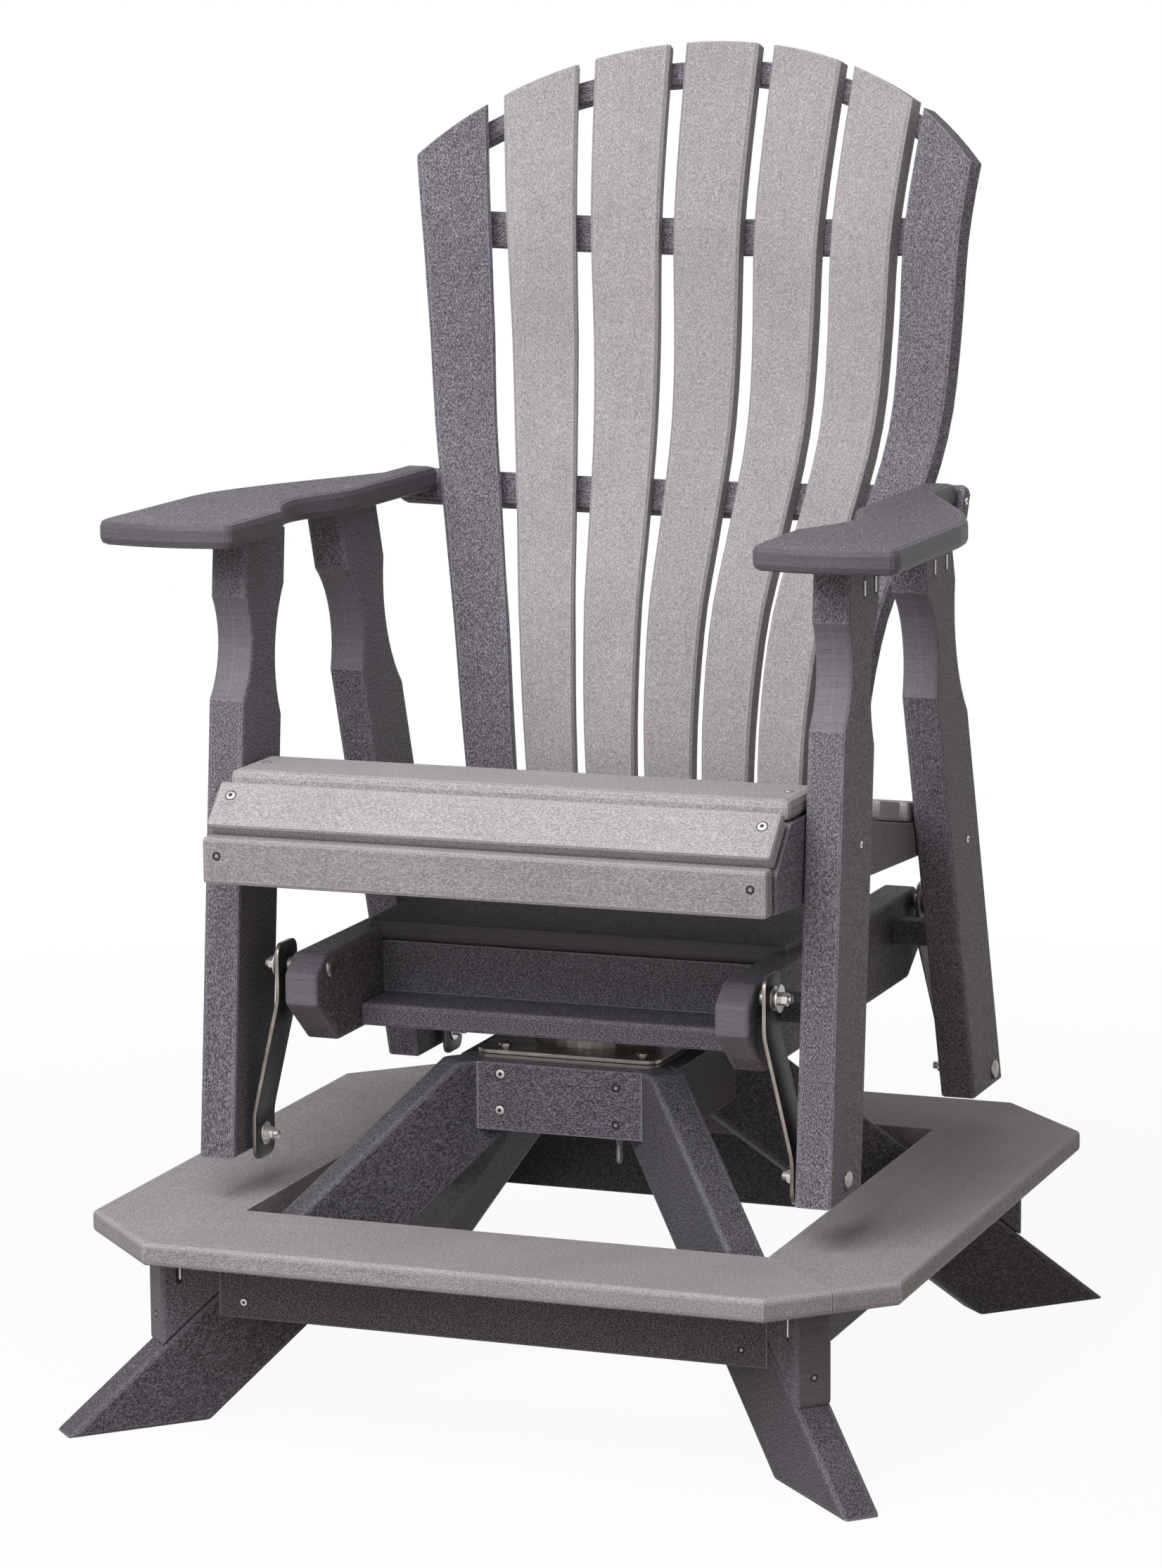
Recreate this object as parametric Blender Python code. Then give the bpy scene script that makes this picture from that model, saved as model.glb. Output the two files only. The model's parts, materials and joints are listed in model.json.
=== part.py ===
# Swivel glider: a balcony-height rocking armchair of poly lumber.
# A four-legged stand with a footrest ring carries a swivel plate, the swivel carries a
# carriage, and the seat frame hangs from the carriage on four steel straps.
# Frame: metres, +Z up, -Y to the front, +X to the right as seen from the front; origin on the
# floor under the swivel.

import math

import bmesh
import bpy
from mathutils import Matrix, Vector

# Fits and edges
GAP = 0.0003
EDGE_ROUND = 0.00356
NOSE_ROUND = 0.0066
EDGE_SEGMENTS = 2
BOARD_THICK = 0.0361
SLAT_THICK = 0.019

# Stand: legs
LEG_WIDTH = 0.0889
LEG_TOE_REACH = 0.0599
LEG_FALL_SHARE = 0.8
LEG_INNER_RADIUS = 0.0559
HUB_TOP = 0.32

# Stand: hub boards, risers and aprons
HUB_FACE = 0.1105
HUB_BOARD_HEIGHT = 0.066
HUB_BOARD_THICK = 0.0305
RISER_SETBACK = 0.0363
RISER_WIDTH = 0.0889
APRON_SETBACK = 0.1016
APRON_HEIGHT = 0.0711

# Stand: footrest ring
RING_HALF = 0.4
RING_CORNER_CUT = 0.0973
RING_BOARD_WIDTH = 0.1397
RING_THICK = 0.0223
RING_TOP = 0.1948
RING_EDGE_ROUND = 0.00508

# Swivel plates
SWIVEL_HALF = 0.0932
SWIVEL_CORNER = 0.014
SWIVEL_SHEET = 0.0033
SWIVEL_RIM_SLOT = 0.00127
SWIVEL_RIM_INSET = 0.00635
RACE_RADIUS = 0.061
TOP_PLATE_HALF = 0.0762
RACE_STEPS = 32

# Carriage
CARRIAGE_BOTTOM = 0.3503
CARRIAGE_BOARD_THICK = 0.0222
BOTTOM_BOARD_FRONT = -0.126
TOP_BOARD_FRONT = -0.0698
TOP_BOARD_TOP = 0.4453
TOP_BOARD_HALF = 0.2139
CROSS_BOARD_SETBACK = 0.00254
RAIL_INNER = 0.1976
RAIL_OUTER = 0.2311
RAIL_FRONT = -0.2286
RAIL_REAR = 0.316
RAIL_BOTTOM = 0.3467
RAIL_TOP = 0.4356
RAIL_NOSE_LOW = 0.3899
RAIL_NOSE_HIGH = 0.4191
RAIL_TOP_CUT = 0.0241
RAIL_CHIN_CUT = 0.0521
RAIL_TAIL_LOW = 0.3759
RAIL_TAIL_CUT = 0.047
STOP_REACH = 0.0343
STOP_DEPTH = 0.0254
STOP_HEIGHT = 0.0254
STOP_LOW = 0.3899
STOP_OFFSET = 0.0409

# Glider links
PIVOT_FRONT = -0.1968
PIVOT_REAR = 0.2832
PIVOT_HIGH = 0.4216
PIVOT_LOW = 0.2553
STRAP_WIDTH = 0.0444
STRAP_THICK = 0.00381
STRAP_TIP = 0.0229
STRAP_UPPER_X = 0.2426
STRAP_LOWER_X = 0.2692
STRAP_STRAIGHT_HIGH = 0.0318
STRAP_STRAIGHT_LOW = 0.0203
BOLT_RADIUS = 0.00483
BOLT_CLEARANCE = 0.00089
BOLT_TAIL = 0.00508
NUT_RADIUS = 0.00787
NUT_THICK = 0.00813
WASHER_RADIUS = 0.0157
WASHER_THICK = 0.00254
DOME_RADIUS = 0.00914
DOME_HEIGHT = 0.00406
BOLT_STEPS = 20

# Seat posts
POST_INNER = 0.2794
POST_WIDTH = 0.0914
POST_BOTTOM = 0.2388
FRONT_POST_FACE = -0.2443
FRONT_POST_LEAN = math.radians(5.5)
REAR_POST_FACE = 0.2202
REAR_POST_LEAN = math.radians(-17.9)
SCOOP_DEPTH = 0.0168
FRONT_SCOOP_LOW = 0.6731
FRONT_SCOOP_HIGH = 0.7696
REAR_SCOOP_LOW = 0.6612
REAR_SCOOP_HIGH = 0.7658
BACK_SCOOP_DROP = 0.0254
BACK_SCOOP_RISE = 0.00254
SCOOP_STEPS = 10

# Arms
ARM_TOP = 0.8509
ARM_THICK = 0.0241
ARM_FRONT = -0.2921
ARM_OUTER = 0.3886
ARM_INNER = 0.252
ARM_CORNER = 0.0114
ARM_NOSE_BOW = 0.00762
ARM_WAIST_START = -0.0864
ARM_WAIST_END = 0.1575
ARM_WAIST_SHARES = (
    (0, 0),
    (0.14, 0.035),
    (0.28, 0.14),
    (0.39, 0.245),
    (0.5, 0.365),
    (0.67, 0.58),
    (0.83, 0.785),
    (0.95, 0.94),
    (1, 1),
)
ARM_TAIL_OUTER = 0.2901
ARM_TAIL_INNER = 0.2565
ARM_BELLY_X = 0.2794
ARM_BELLY_START = -0.1651
ARM_BELLY_PEAK = -0.0737
ARM_BELLY_END = 0.0229
ARM_STEPS = 8
ARM_CORNER_STEPS = 4

# Stringers and seat slats
STRINGER_OUTER = 0.2786
STRINGER_FRONT = -0.2896
STRINGER_REAR = 0.2464
STRINGER_FOOT_FRONT = 0.5192
STRINGER_FOOT_MIDDLE = 0.5042
STRINGER_FOOT_REAR = 0.4902
STRINGER_FOOT_MIDDLE_Y = -0.00914
SEAT_SLAT_HALF = 0.2758
SEAT_SLAT_THICK = 0.0198
LOW_SLAT_LOW = 0.5177
LOW_SLAT_HIGH = 0.5618
SLANT_LOW_Y = -0.3
SLANT_LOW_Z = 0.5725
SLANT_HIGH_Y = -0.2639
SLANT_HIGH_Z = 0.6078
FRONT_SLAT_FRONT = -0.2449
FRONT_SLAT_REAR = -0.1549
SEAT_TOP = 0.6147
DECK_SLATS = 4
DECK_SLAT_WIDTH = 0.0655
DECK_GAP = 0.0224
DECK_LAST_FRONT = 0.1189
DECK_REAR = 0.1613
DECK_MIDDLE_Y = 0.0061
DECK_MIDDLE_Z = 0.5748
DECK_REAR_Z = 0.5461

# Back: seven fanned slats on four curved rails
BACK_SLATS = 7
BACK_FOOT_Y = 0.1986
BACK_FOOT_Z = 0.5055
BACK_RECLINE = 0.176
BACK_RISE = 0.7671
BACK_PROFILE_SHARES = (
    (0, 0),
    (0.0101, 0.1358),
    (0.127, 0.2682),
    (0.3434, 0.3709),
    (0.5758, 0.4901),
    (0.6652, 0.5993),
    (0.697, 0.7483),
    (0.8038, 0.8576),
    (1, 1),
)
BACK_WRAP_RADIUS = 0.6477
BACK_WRAP_TILT = math.radians(10)
BACK_LOW_PITCH = 0.0598
BACK_HIGH_PITCH = 0.0935
BACK_PITCH_SHARES = (
    (0, 0),
    (0.128, 0.0655),
    (0.256, 0.1875),
    (0.385, 0.4096),
    (0.513, 0.619),
    (0.641, 0.7011),
    (0.769, 0.7673),
    (1, 1),
)
BACK_LOW_WIDTH = 0.0486
BACK_HIGH_WIDTH = 0.0774
BACK_CROWN_RADIUS = 0.414
BACK_EDGE_CUT = 0.00305
BACK_STATIONS = 26
BACK_LANES = 5
TOP_RAIL_DROP = 0.0246
TOP_RAIL_HEIGHT = 0.0254
TOP_RAIL_DEPTH = 0.0221
MID_RAIL_Z = 1.0782
MID_RAIL_HEIGHT = 0.0368
MID_RAIL_DEPTH = 0.0221
ARM_RAIL_DROP = 0.0295
ARM_RAIL_HEIGHT = 0.0361
ARM_RAIL_DEPTH = 0.0221
LOW_RAIL_Z = 0.5131
LOW_RAIL_HEIGHT = 0.0381
LOW_RAIL_DEPTH = 0.0254
MID_RAIL_REACH = 0.271
TOP_RAIL_REACH = 0.271
ARM_RAIL_REACH = 0.2984
RAIL_ARC_STEPS = 18

# Colours, roughness and metallic value
CHARCOAL = ((0.083, 0.078, 0.088, 1.0), 0.55, 0.0)
TAUPE = ((0.36, 0.325, 0.31, 1.0), 0.55, 0.0)
STEEL = ((0.62, 0.6, 0.57, 1.0), 0.28, 1.0)
DARK_STEEL = ((0.3, 0.27, 0.25, 1.0), 0.4, 1.0)


def clear_scene():
    for old in list(bpy.data.objects):
        bpy.data.objects.remove(old, do_unlink=True)


def make_anchor(name, place):
    """An empty on a joint's axis; the pieces that turn about it are its children."""
    anchor = bpy.data.objects.new(name, None)
    anchor.location = place
    anchor.empty_display_size = BOARD_THICK
    bpy.context.scene.collection.objects.link(anchor)
    return anchor


def make_finish(name, finish):
    colour, roughness, metallic = finish
    material = bpy.data.materials.new(name + "_finish")
    material.use_nodes = True
    shader = material.node_tree.nodes["Principled BSDF"]
    shader.inputs["Base Color"].default_value = colour
    shader.inputs["Roughness"].default_value = roughness
    shader.inputs["Metallic"].default_value = metallic
    material.diffuse_color = colour
    return material


def add_piece(name, shape, finish, anchor):
    """Name a shape, give it its finish and hang it on its anchor."""
    bmesh.ops.translate(shape, verts=shape.verts, vec=-Vector(anchor.location))
    bmesh.ops.recalc_face_normals(shape, faces=shape.faces)
    mesh = bpy.data.meshes.new(name)
    shape.to_mesh(mesh)
    shape.free()
    mesh.materials.append(make_finish(name, finish))
    mesh.shade_smooth()
    mesh.set_sharp_from_angle(angle=math.radians(35))
    piece = bpy.data.objects.new(name, mesh)
    bpy.context.scene.collection.objects.link(piece)
    piece.parent = anchor
    return piece


def add_helper(name, shape, anchor):
    """A shape that is cut from a piece or joined to one."""
    helper = add_piece(name, shape, STEEL, anchor)
    helper.hide_render = True
    helper.display_type = "WIRE"
    return helper


def combine(piece, helper, operation):
    modifier = piece.modifiers.new(helper.name, "BOOLEAN")
    modifier.operation = operation
    modifier.solver = "EXACT"
    modifier.object = helper


# Solids


def prism(outline, axis, low, high):
    """Extrude an outline given in the other two axes, in the order XYZ, from low to high."""
    place = {
        "X": lambda a, b, c: (c, a, b),
        "Y": lambda a, b, c: (a, c, b),
        "Z": lambda a, b, c: (a, b, c),
    }[axis]
    shape = bmesh.new()
    first = [shape.verts.new(place(a, b, low)) for a, b in outline]
    last = [shape.verts.new(place(a, b, high)) for a, b in outline]
    shape.faces.new(first)
    shape.faces.new(reversed(last))
    for here in range(len(outline)):
        after = (here + 1) % len(outline)
        shape.faces.new((first[here], first[after], last[after], last[here]))
    bmesh.ops.recalc_face_normals(shape, faces=shape.faces)
    return shape


def box(x_low, x_high, y_low, y_high, z_low, z_high):
    outline = [(y_low, z_low), (y_high, z_low), (y_high, z_high), (y_low, z_high)]
    return prism(outline, "X", x_low, x_high)


def loft(rings, closed_ends=True):
    """Join rings of equal length into one skin, capped at both ends."""
    shape = bmesh.new()
    loops = [[shape.verts.new(point) for point in ring] for ring in rings]
    count = len(loops[0])
    for lower, upper in zip(loops, loops[1:]):
        for here in range(count):
            after = (here + 1) % count
            shape.faces.new((lower[here], lower[after], upper[after], upper[here]))
    if closed_ends:
        shape.faces.new(reversed(loops[0]))
        shape.faces.new(loops[-1])
    bmesh.ops.recalc_face_normals(shape, faces=shape.faces)
    return shape


def turned(profile, y, z):
    """Revolve (x, radius) points about the line along X through y and z."""
    rings = []
    for x, radius in profile:
        ring = []
        for step in range(BOLT_STEPS):
            angle = math.tau * step / BOLT_STEPS
            ring.append((x, y + radius * math.cos(angle), z + radius * math.sin(angle)))
        rings.append(ring)
    return loft(rings)


def round_edges(shape, width, segments=EDGE_SEGMENTS, wanted=None):
    """Bevel the sharp edges, or only those that wanted() picks."""
    limit = math.radians(28)
    edges = []
    for edge in shape.edges:
        if len(edge.link_faces) == 2 and edge.calc_face_angle() > limit:
            if wanted is None or wanted(edge):
                edges.append(edge)
    bmesh.ops.bevel(
        shape,
        geom=edges,
        offset=width,
        offset_type="OFFSET",
        segments=segments,
        profile=0.5,
        affect="EDGES",
        clamp_overlap=True,
    )
    return shape


def spin(shape, angle):
    bmesh.ops.rotate(shape, verts=shape.verts, cent=(0, 0, 0), matrix=Matrix.Rotation(angle, 3, "Z"))
    return shape


def flip_side(shape, side):
    """Mirror a shape made on the +X side when it belongs on the -X side."""
    if side < 0:
        bmesh.ops.scale(shape, verts=shape.verts, vec=(-1, 1, 1))
        bmesh.ops.reverse_faces(shape, faces=shape.faces)
    return shape


def arc_between(start, end, depth, steps):
    """Points of the circular arc that bulges by depth to the left of start to end."""
    start, end = Vector(start), Vector(end)
    chord = end - start
    half = chord.length / 2
    radius = (half * half + depth * depth) / (2 * depth)
    side = Vector((-chord.y, chord.x)).normalized()
    centre = (start + end) / 2 - side * (radius - depth)
    sweep = math.asin(half / radius)
    points = []
    for step in range(steps + 1):
        angle = -sweep + 2 * sweep * step / steps
        along = chord.normalized() * radius * math.sin(angle)
        points.append(centre + side * radius * math.cos(angle) + along)
    return [(point.x, point.y) for point in points]


# Stand

QUARTERS = {"front_right": -45, "rear_right": 45, "rear_left": 135, "front_left": -135}
FACES = {"front": 0, "right": 90, "rear": 180, "left": 270}
RING_UNDERSIDE = RING_TOP - RING_THICK
RING_CORNER_RADIUS = (RING_HALF - RING_CORNER_CUT / 2) * math.sqrt(2)
APRON_FACE = RING_HALF - APRON_SETBACK
RISER_FACE_RADIUS = RING_CORNER_RADIUS - RISER_SETBACK
LEG_TOE_RADIUS = RING_CORNER_RADIUS + LEG_TOE_REACH


def leg_line(radius):
    """Height of a leg's upper edge at a distance from the swivel axis."""
    return (LEG_TOE_RADIUS - radius) * LEG_FALL_SHARE


def make_leg(name, angle, anchor):
    heel = LEG_TOE_RADIUS - LEG_WIDTH / math.sin(math.atan(LEG_FALL_SHARE))
    shoulder = LEG_TOE_RADIUS - HUB_TOP / LEG_FALL_SHARE
    inner_low = (heel - LEG_INNER_RADIUS) * LEG_FALL_SHARE
    outline = [
        (heel, 0),
        (LEG_TOE_RADIUS, 0),
        (shoulder, HUB_TOP),
        (LEG_INNER_RADIUS, HUB_TOP),
        (LEG_INNER_RADIUS, inner_low),
    ]
    shape = prism(outline, "Y", -BOARD_THICK / 2, BOARD_THICK / 2)
    add_piece(name, spin(round_edges(shape, EDGE_ROUND), angle), CHARCOAL, anchor)


def make_riser(name, angle, anchor):
    inner = RISER_FACE_RADIUS - RISER_WIDTH
    outline = [
        (inner, leg_line(inner) + 2 * GAP),
        (RISER_FACE_RADIUS, leg_line(RISER_FACE_RADIUS) + 2 * GAP),
        (RISER_FACE_RADIUS, RING_UNDERSIDE - GAP),
        (inner, RING_UNDERSIDE - GAP),
    ]
    shape = prism(outline, "Y", -BOARD_THICK / 2, BOARD_THICK / 2)
    add_piece(name, spin(round_edges(shape, EDGE_ROUND), angle), CHARCOAL, anchor)


def make_board_between_legs(name, angle, face, thick, span, anchor):
    """A board that spans two neighbouring legs, its ends cut to lie on their sides."""
    leg_side = BOARD_THICK / math.sqrt(2) + 2 * GAP
    back = face - thick
    outline = [
        (-(face - leg_side), -face),
        (face - leg_side, -face),
        (back - leg_side, -back),
        (-(back - leg_side), -back),
    ]
    shape = prism(outline, "Z", *span)
    add_piece(name, spin(shape, angle), CHARCOAL, anchor)


def make_footrest_board(name, angle, anchor):
    side = RING_HALF - RING_CORNER_CUT
    corner = RING_HALF - RING_CORNER_CUT / 2
    inner = RING_HALF - RING_BOARD_WIDTH
    outline = [
        (-side, -RING_HALF),
        (side, -RING_HALF),
        (corner - GAP, -corner - GAP),
        (inner - GAP, -inner - GAP),
        (-inner + GAP, -inner - GAP),
        (-corner + GAP, -corner - GAP),
    ]
    shape = prism(outline, "Z", RING_UNDERSIDE, RING_TOP)

    def on_mitre(vert):
        return abs(abs(vert.co.x) + vert.co.y) < 3 * GAP

    def off_mitre(edge):
        flat = edge.verts[0].co.z == edge.verts[1].co.z
        return flat and not (on_mitre(edge.verts[0]) and on_mitre(edge.verts[1]))

    round_edges(shape, RING_EDGE_ROUND, EDGE_SEGMENTS + 1, off_mitre)
    add_piece(name, spin(shape, angle), TAUPE, anchor)


def rounded_square(half, corner, z):
    """A square loop with round corners, RACE_STEPS points long, from the +X side round."""
    points = []
    per_corner = RACE_STEPS // 4
    for quarter in range(4):
        turn = math.radians(90 * quarter)
        for step in range(per_corner):
            angle = math.radians(90) * step / (per_corner - 1)
            x = half - corner + corner * math.cos(angle)
            y = half - corner + corner * math.sin(angle)
            turned_x = x * math.cos(turn) - y * math.sin(turn)
            turned_y = x * math.sin(turn) + y * math.cos(turn)
            points.append((turned_x, turned_y, z))
    return points


def circle(radius, z):
    """A round loop that lines up with rounded_square."""
    start = math.radians(45) / RACE_STEPS
    points = []
    for step in range(RACE_STEPS):
        angle = start + math.tau * step / RACE_STEPS
        points.append((radius * math.cos(angle), radius * math.sin(angle), z))
    return points


def swivel_levels():
    """Heights of the lower plate's layers and of the split between the two races."""
    floor = HUB_TOP + GAP
    first = floor + SWIVEL_SHEET
    second = first + SWIVEL_RIM_SLOT
    third = second + SWIVEL_SHEET
    ceiling = CARRIAGE_BOTTOM - GAP
    split = (third + ceiling) / 2
    return floor, first, second, third, split, ceiling


def make_swivel_base_plate(anchor):
    floor, first, second, third, split, ceiling = swivel_levels()
    inset = SWIVEL_HALF - SWIVEL_RIM_INSET
    rings = [
        rounded_square(SWIVEL_HALF, SWIVEL_CORNER, floor),
        rounded_square(SWIVEL_HALF, SWIVEL_CORNER, first),
        rounded_square(inset, SWIVEL_CORNER, first),
        rounded_square(inset, SWIVEL_CORNER, second),
        rounded_square(SWIVEL_HALF, SWIVEL_CORNER, second),
        rounded_square(SWIVEL_HALF, SWIVEL_CORNER, third),
        circle(RACE_RADIUS, third),
        circle(RACE_RADIUS, split - GAP),
    ]
    add_piece("swivel_base_plate", loft(rings), STEEL, anchor)


def make_swivel_top_plate(anchor):
    floor, first, second, third, split, ceiling = swivel_levels()
    rings = [
        circle(RACE_RADIUS, split),
        circle(RACE_RADIUS, ceiling - SWIVEL_SHEET),
        rounded_square(TOP_PLATE_HALF, SWIVEL_CORNER, ceiling - SWIVEL_SHEET),
        rounded_square(TOP_PLATE_HALF, SWIVEL_CORNER, ceiling),
    ]
    add_piece("swivel_top_plate", loft(rings), DARK_STEEL, anchor)


def make_stand(anchor):
    for place, degrees in QUARTERS.items():
        make_leg("leg_" + place, math.radians(degrees), anchor)
        make_riser("riser_" + place, math.radians(degrees), anchor)
    hub_span = (HUB_TOP - HUB_BOARD_HEIGHT, HUB_TOP)
    apron_top = RING_UNDERSIDE - GAP
    apron_span = (apron_top - APRON_HEIGHT, apron_top)
    for place, degrees in FACES.items():
        angle = math.radians(degrees)
        make_board_between_legs("hub_board_" + place, angle, HUB_FACE, HUB_BOARD_THICK, hub_span, anchor)
        make_board_between_legs("apron_" + place, angle, APRON_FACE, BOARD_THICK, apron_span, anchor)
        make_footrest_board("footrest_" + place, angle, anchor)
    make_swivel_base_plate(anchor)


# Carriage

CARRIAGE_MIDDLE = (RAIL_FRONT + RAIL_REAR) / 2
BOTTOM_BOARD_TOP = CARRIAGE_BOTTOM + CARRIAGE_BOARD_THICK
TOP_BOARD_LOW = TOP_BOARD_TOP - CARRIAGE_BOARD_THICK


def across_carriage(front):
    """The rear edge that mirrors a front edge about the middle of the rails."""
    return 2 * CARRIAGE_MIDDLE - front


def make_carriage_boards(anchor):
    half = RAIL_INNER - GAP
    rear = across_carriage(BOTTOM_BOARD_FRONT)
    bottom = box(-half, half, BOTTOM_BOARD_FRONT, rear, CARRIAGE_BOTTOM, BOTTOM_BOARD_TOP)
    add_piece("carriage_bottom_board", round_edges(bottom, EDGE_ROUND), CHARCOAL, anchor)
    rear = across_carriage(TOP_BOARD_FRONT)
    top = box(-TOP_BOARD_HALF, TOP_BOARD_HALF, TOP_BOARD_FRONT, rear, TOP_BOARD_LOW, TOP_BOARD_TOP)
    add_piece("carriage_top_board", round_edges(top, NOSE_ROUND, EDGE_SEGMENTS + 1), CHARCOAL, anchor)
    front = TOP_BOARD_FRONT + CROSS_BOARD_SETBACK
    low, high = BOTTOM_BOARD_TOP + GAP, TOP_BOARD_LOW - GAP
    fore = box(-half, half, front, front + CARRIAGE_BOARD_THICK, low, high)
    add_piece("carriage_front_board", fore, CHARCOAL, anchor)
    back = across_carriage(front)
    aft = box(-half, half, back - CARRIAGE_BOARD_THICK, back, low, high)
    add_piece("carriage_rear_board", aft, CHARCOAL, anchor)


def bolt_hole(name, y, z, x_low, x_high, side, anchor):
    reach = BOARD_THICK / 2
    radius = BOLT_RADIUS + BOLT_CLEARANCE
    hole = turned([(x_low - reach, radius), (x_high + reach, radius)], y, z)
    return add_helper(name, flip_side(hole, side), anchor)


def make_rail(side, word, anchor):
    """A carriage side rail with its two stop blocks, the top board's notch and the bolt holes."""
    outline = [
        (RAIL_FRONT, RAIL_NOSE_LOW),
        (RAIL_FRONT, RAIL_NOSE_HIGH),
        (RAIL_FRONT + RAIL_TOP_CUT, RAIL_TOP),
        (RAIL_REAR - RAIL_TOP_CUT, RAIL_TOP),
        (RAIL_REAR, RAIL_NOSE_HIGH),
        (RAIL_REAR, RAIL_TAIL_LOW),
        (RAIL_REAR - RAIL_TAIL_CUT, RAIL_BOTTOM),
        (RAIL_FRONT + RAIL_CHIN_CUT, RAIL_BOTTOM),
    ]
    shape = round_edges(prism(outline, "X", RAIL_INNER, RAIL_OUTER), EDGE_ROUND)
    name = "glide_rail_" + word
    rail = add_piece(name, flip_side(shape, side), CHARCOAL, anchor)
    notch = box(
        RAIL_INNER - BOARD_THICK,
        TOP_BOARD_HALF + GAP,
        TOP_BOARD_FRONT - GAP,
        across_carriage(TOP_BOARD_FRONT) + GAP,
        TOP_BOARD_LOW - GAP,
        RAIL_TOP + BOARD_THICK,
    )
    combine(rail, add_helper(name + "_notch", flip_side(notch, side), anchor), "DIFFERENCE")
    rear_block = PIVOT_REAR - STOP_OFFSET - STOP_DEPTH
    for end, low in (("front", PIVOT_FRONT + STOP_OFFSET), ("rear", rear_block)):
        block = box(
            (RAIL_INNER + RAIL_OUTER) / 2,
            RAIL_OUTER + STOP_REACH,
            low,
            low + STOP_DEPTH,
            STOP_LOW,
            STOP_LOW + STOP_HEIGHT,
        )
        round_edges(block, EDGE_ROUND)
        combine(rail, add_helper(name + "_stop_" + end, flip_side(block, side), anchor), "UNION")
    for end, y in (("front", PIVOT_FRONT), ("rear", PIVOT_REAR)):
        hole = bolt_hole(name + "_hole_" + end, y, PIVOT_HIGH, RAIL_INNER, RAIL_OUTER, side, anchor)
        combine(rail, hole, "DIFFERENCE")


def make_carriage(anchor):
    make_swivel_top_plate(anchor)
    make_carriage_boards(anchor)
    for side, word in ((1, "right"), (-1, "left")):
        make_rail(side, word, anchor)


# Links

POST_OUTER = POST_INNER + BOARD_THICK


def upper_bolt_profile():
    """Dome on the rail's inner face, shank, spacer, washer over the strap, nut and tail."""
    washer_end = STRAP_UPPER_X + STRAP_THICK / 2 + WASHER_THICK
    nut_end = washer_end + NUT_THICK
    return [
        (RAIL_INNER - GAP - DOME_HEIGHT, DOME_RADIUS / 3),
        (RAIL_INNER - GAP - DOME_HEIGHT * 2 / 3, DOME_RADIUS * 3 / 4),
        (RAIL_INNER - GAP, DOME_RADIUS),
        (RAIL_INNER - GAP, BOLT_RADIUS),
        (RAIL_OUTER + GAP, BOLT_RADIUS),
        (RAIL_OUTER + GAP, NUT_RADIUS),
        (STRAP_UPPER_X, NUT_RADIUS),
        (STRAP_UPPER_X, WASHER_RADIUS),
        (washer_end, WASHER_RADIUS),
        (washer_end, NUT_RADIUS),
        (nut_end, NUT_RADIUS),
        (nut_end, BOLT_RADIUS),
        (nut_end + BOLT_TAIL, BOLT_RADIUS),
    ]


def lower_bolt_profile():
    """Tail and nut inside the strap, a washer between strap and post, dome on the outer face."""
    washer_end = STRAP_LOWER_X + STRAP_THICK / 2 + WASHER_THICK
    nut_start = STRAP_LOWER_X - STRAP_THICK / 2 - NUT_THICK
    return [
        (nut_start - BOLT_TAIL, BOLT_RADIUS),
        (nut_start, BOLT_RADIUS),
        (nut_start, NUT_RADIUS),
        (STRAP_LOWER_X, NUT_RADIUS),
        (STRAP_LOWER_X, WASHER_RADIUS),
        (washer_end, WASHER_RADIUS),
        (washer_end, NUT_RADIUS),
        (POST_INNER - GAP, NUT_RADIUS),
        (POST_INNER - GAP, BOLT_RADIUS),
        (POST_OUTER + GAP, BOLT_RADIUS),
        (POST_OUTER + GAP, DOME_RADIUS),
        (POST_OUTER + GAP + DOME_HEIGHT / 3, DOME_RADIUS * 3 / 4),
        (POST_OUTER + GAP + DOME_HEIGHT, DOME_RADIUS / 3),
    ]


def strap_shape(y):
    """The joggled steel strap, its four tip corners rounded."""
    half = STRAP_THICK / 2
    path = [
        (STRAP_UPPER_X, PIVOT_HIGH + STRAP_TIP),
        (STRAP_UPPER_X, PIVOT_HIGH - STRAP_STRAIGHT_HIGH),
        (STRAP_LOWER_X, PIVOT_LOW + STRAP_STRAIGHT_LOW),
        (STRAP_LOWER_X, PIVOT_LOW - STRAP_TIP),
    ]
    outline = [(x - half, z) for x, z in path] + [(x + half, z) for x, z in reversed(path)]
    shape = prism(outline, "Y", y - STRAP_WIDTH / 2, y + STRAP_WIDTH / 2)

    def is_tip_corner(edge):
        first, second = edge.verts[0].co, edge.verts[1].co
        return first.y == second.y and first.z == second.z

    corner = STRAP_WIDTH / 4
    return round_edges(shape, corner, EDGE_SEGMENTS + 1, is_tip_corner)


def make_link(name, side, y, anchor):
    link = add_piece(name, flip_side(strap_shape(y), side), STEEL, anchor)
    upper = turned(upper_bolt_profile(), y, PIVOT_HIGH)
    lower = turned(lower_bolt_profile(), y, PIVOT_LOW)
    combine(link, add_helper(name + "_upper_bolt", flip_side(upper, side), anchor), "UNION")
    combine(link, add_helper(name + "_lower_bolt", flip_side(lower, side), anchor), "UNION")


# Seat frame


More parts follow.
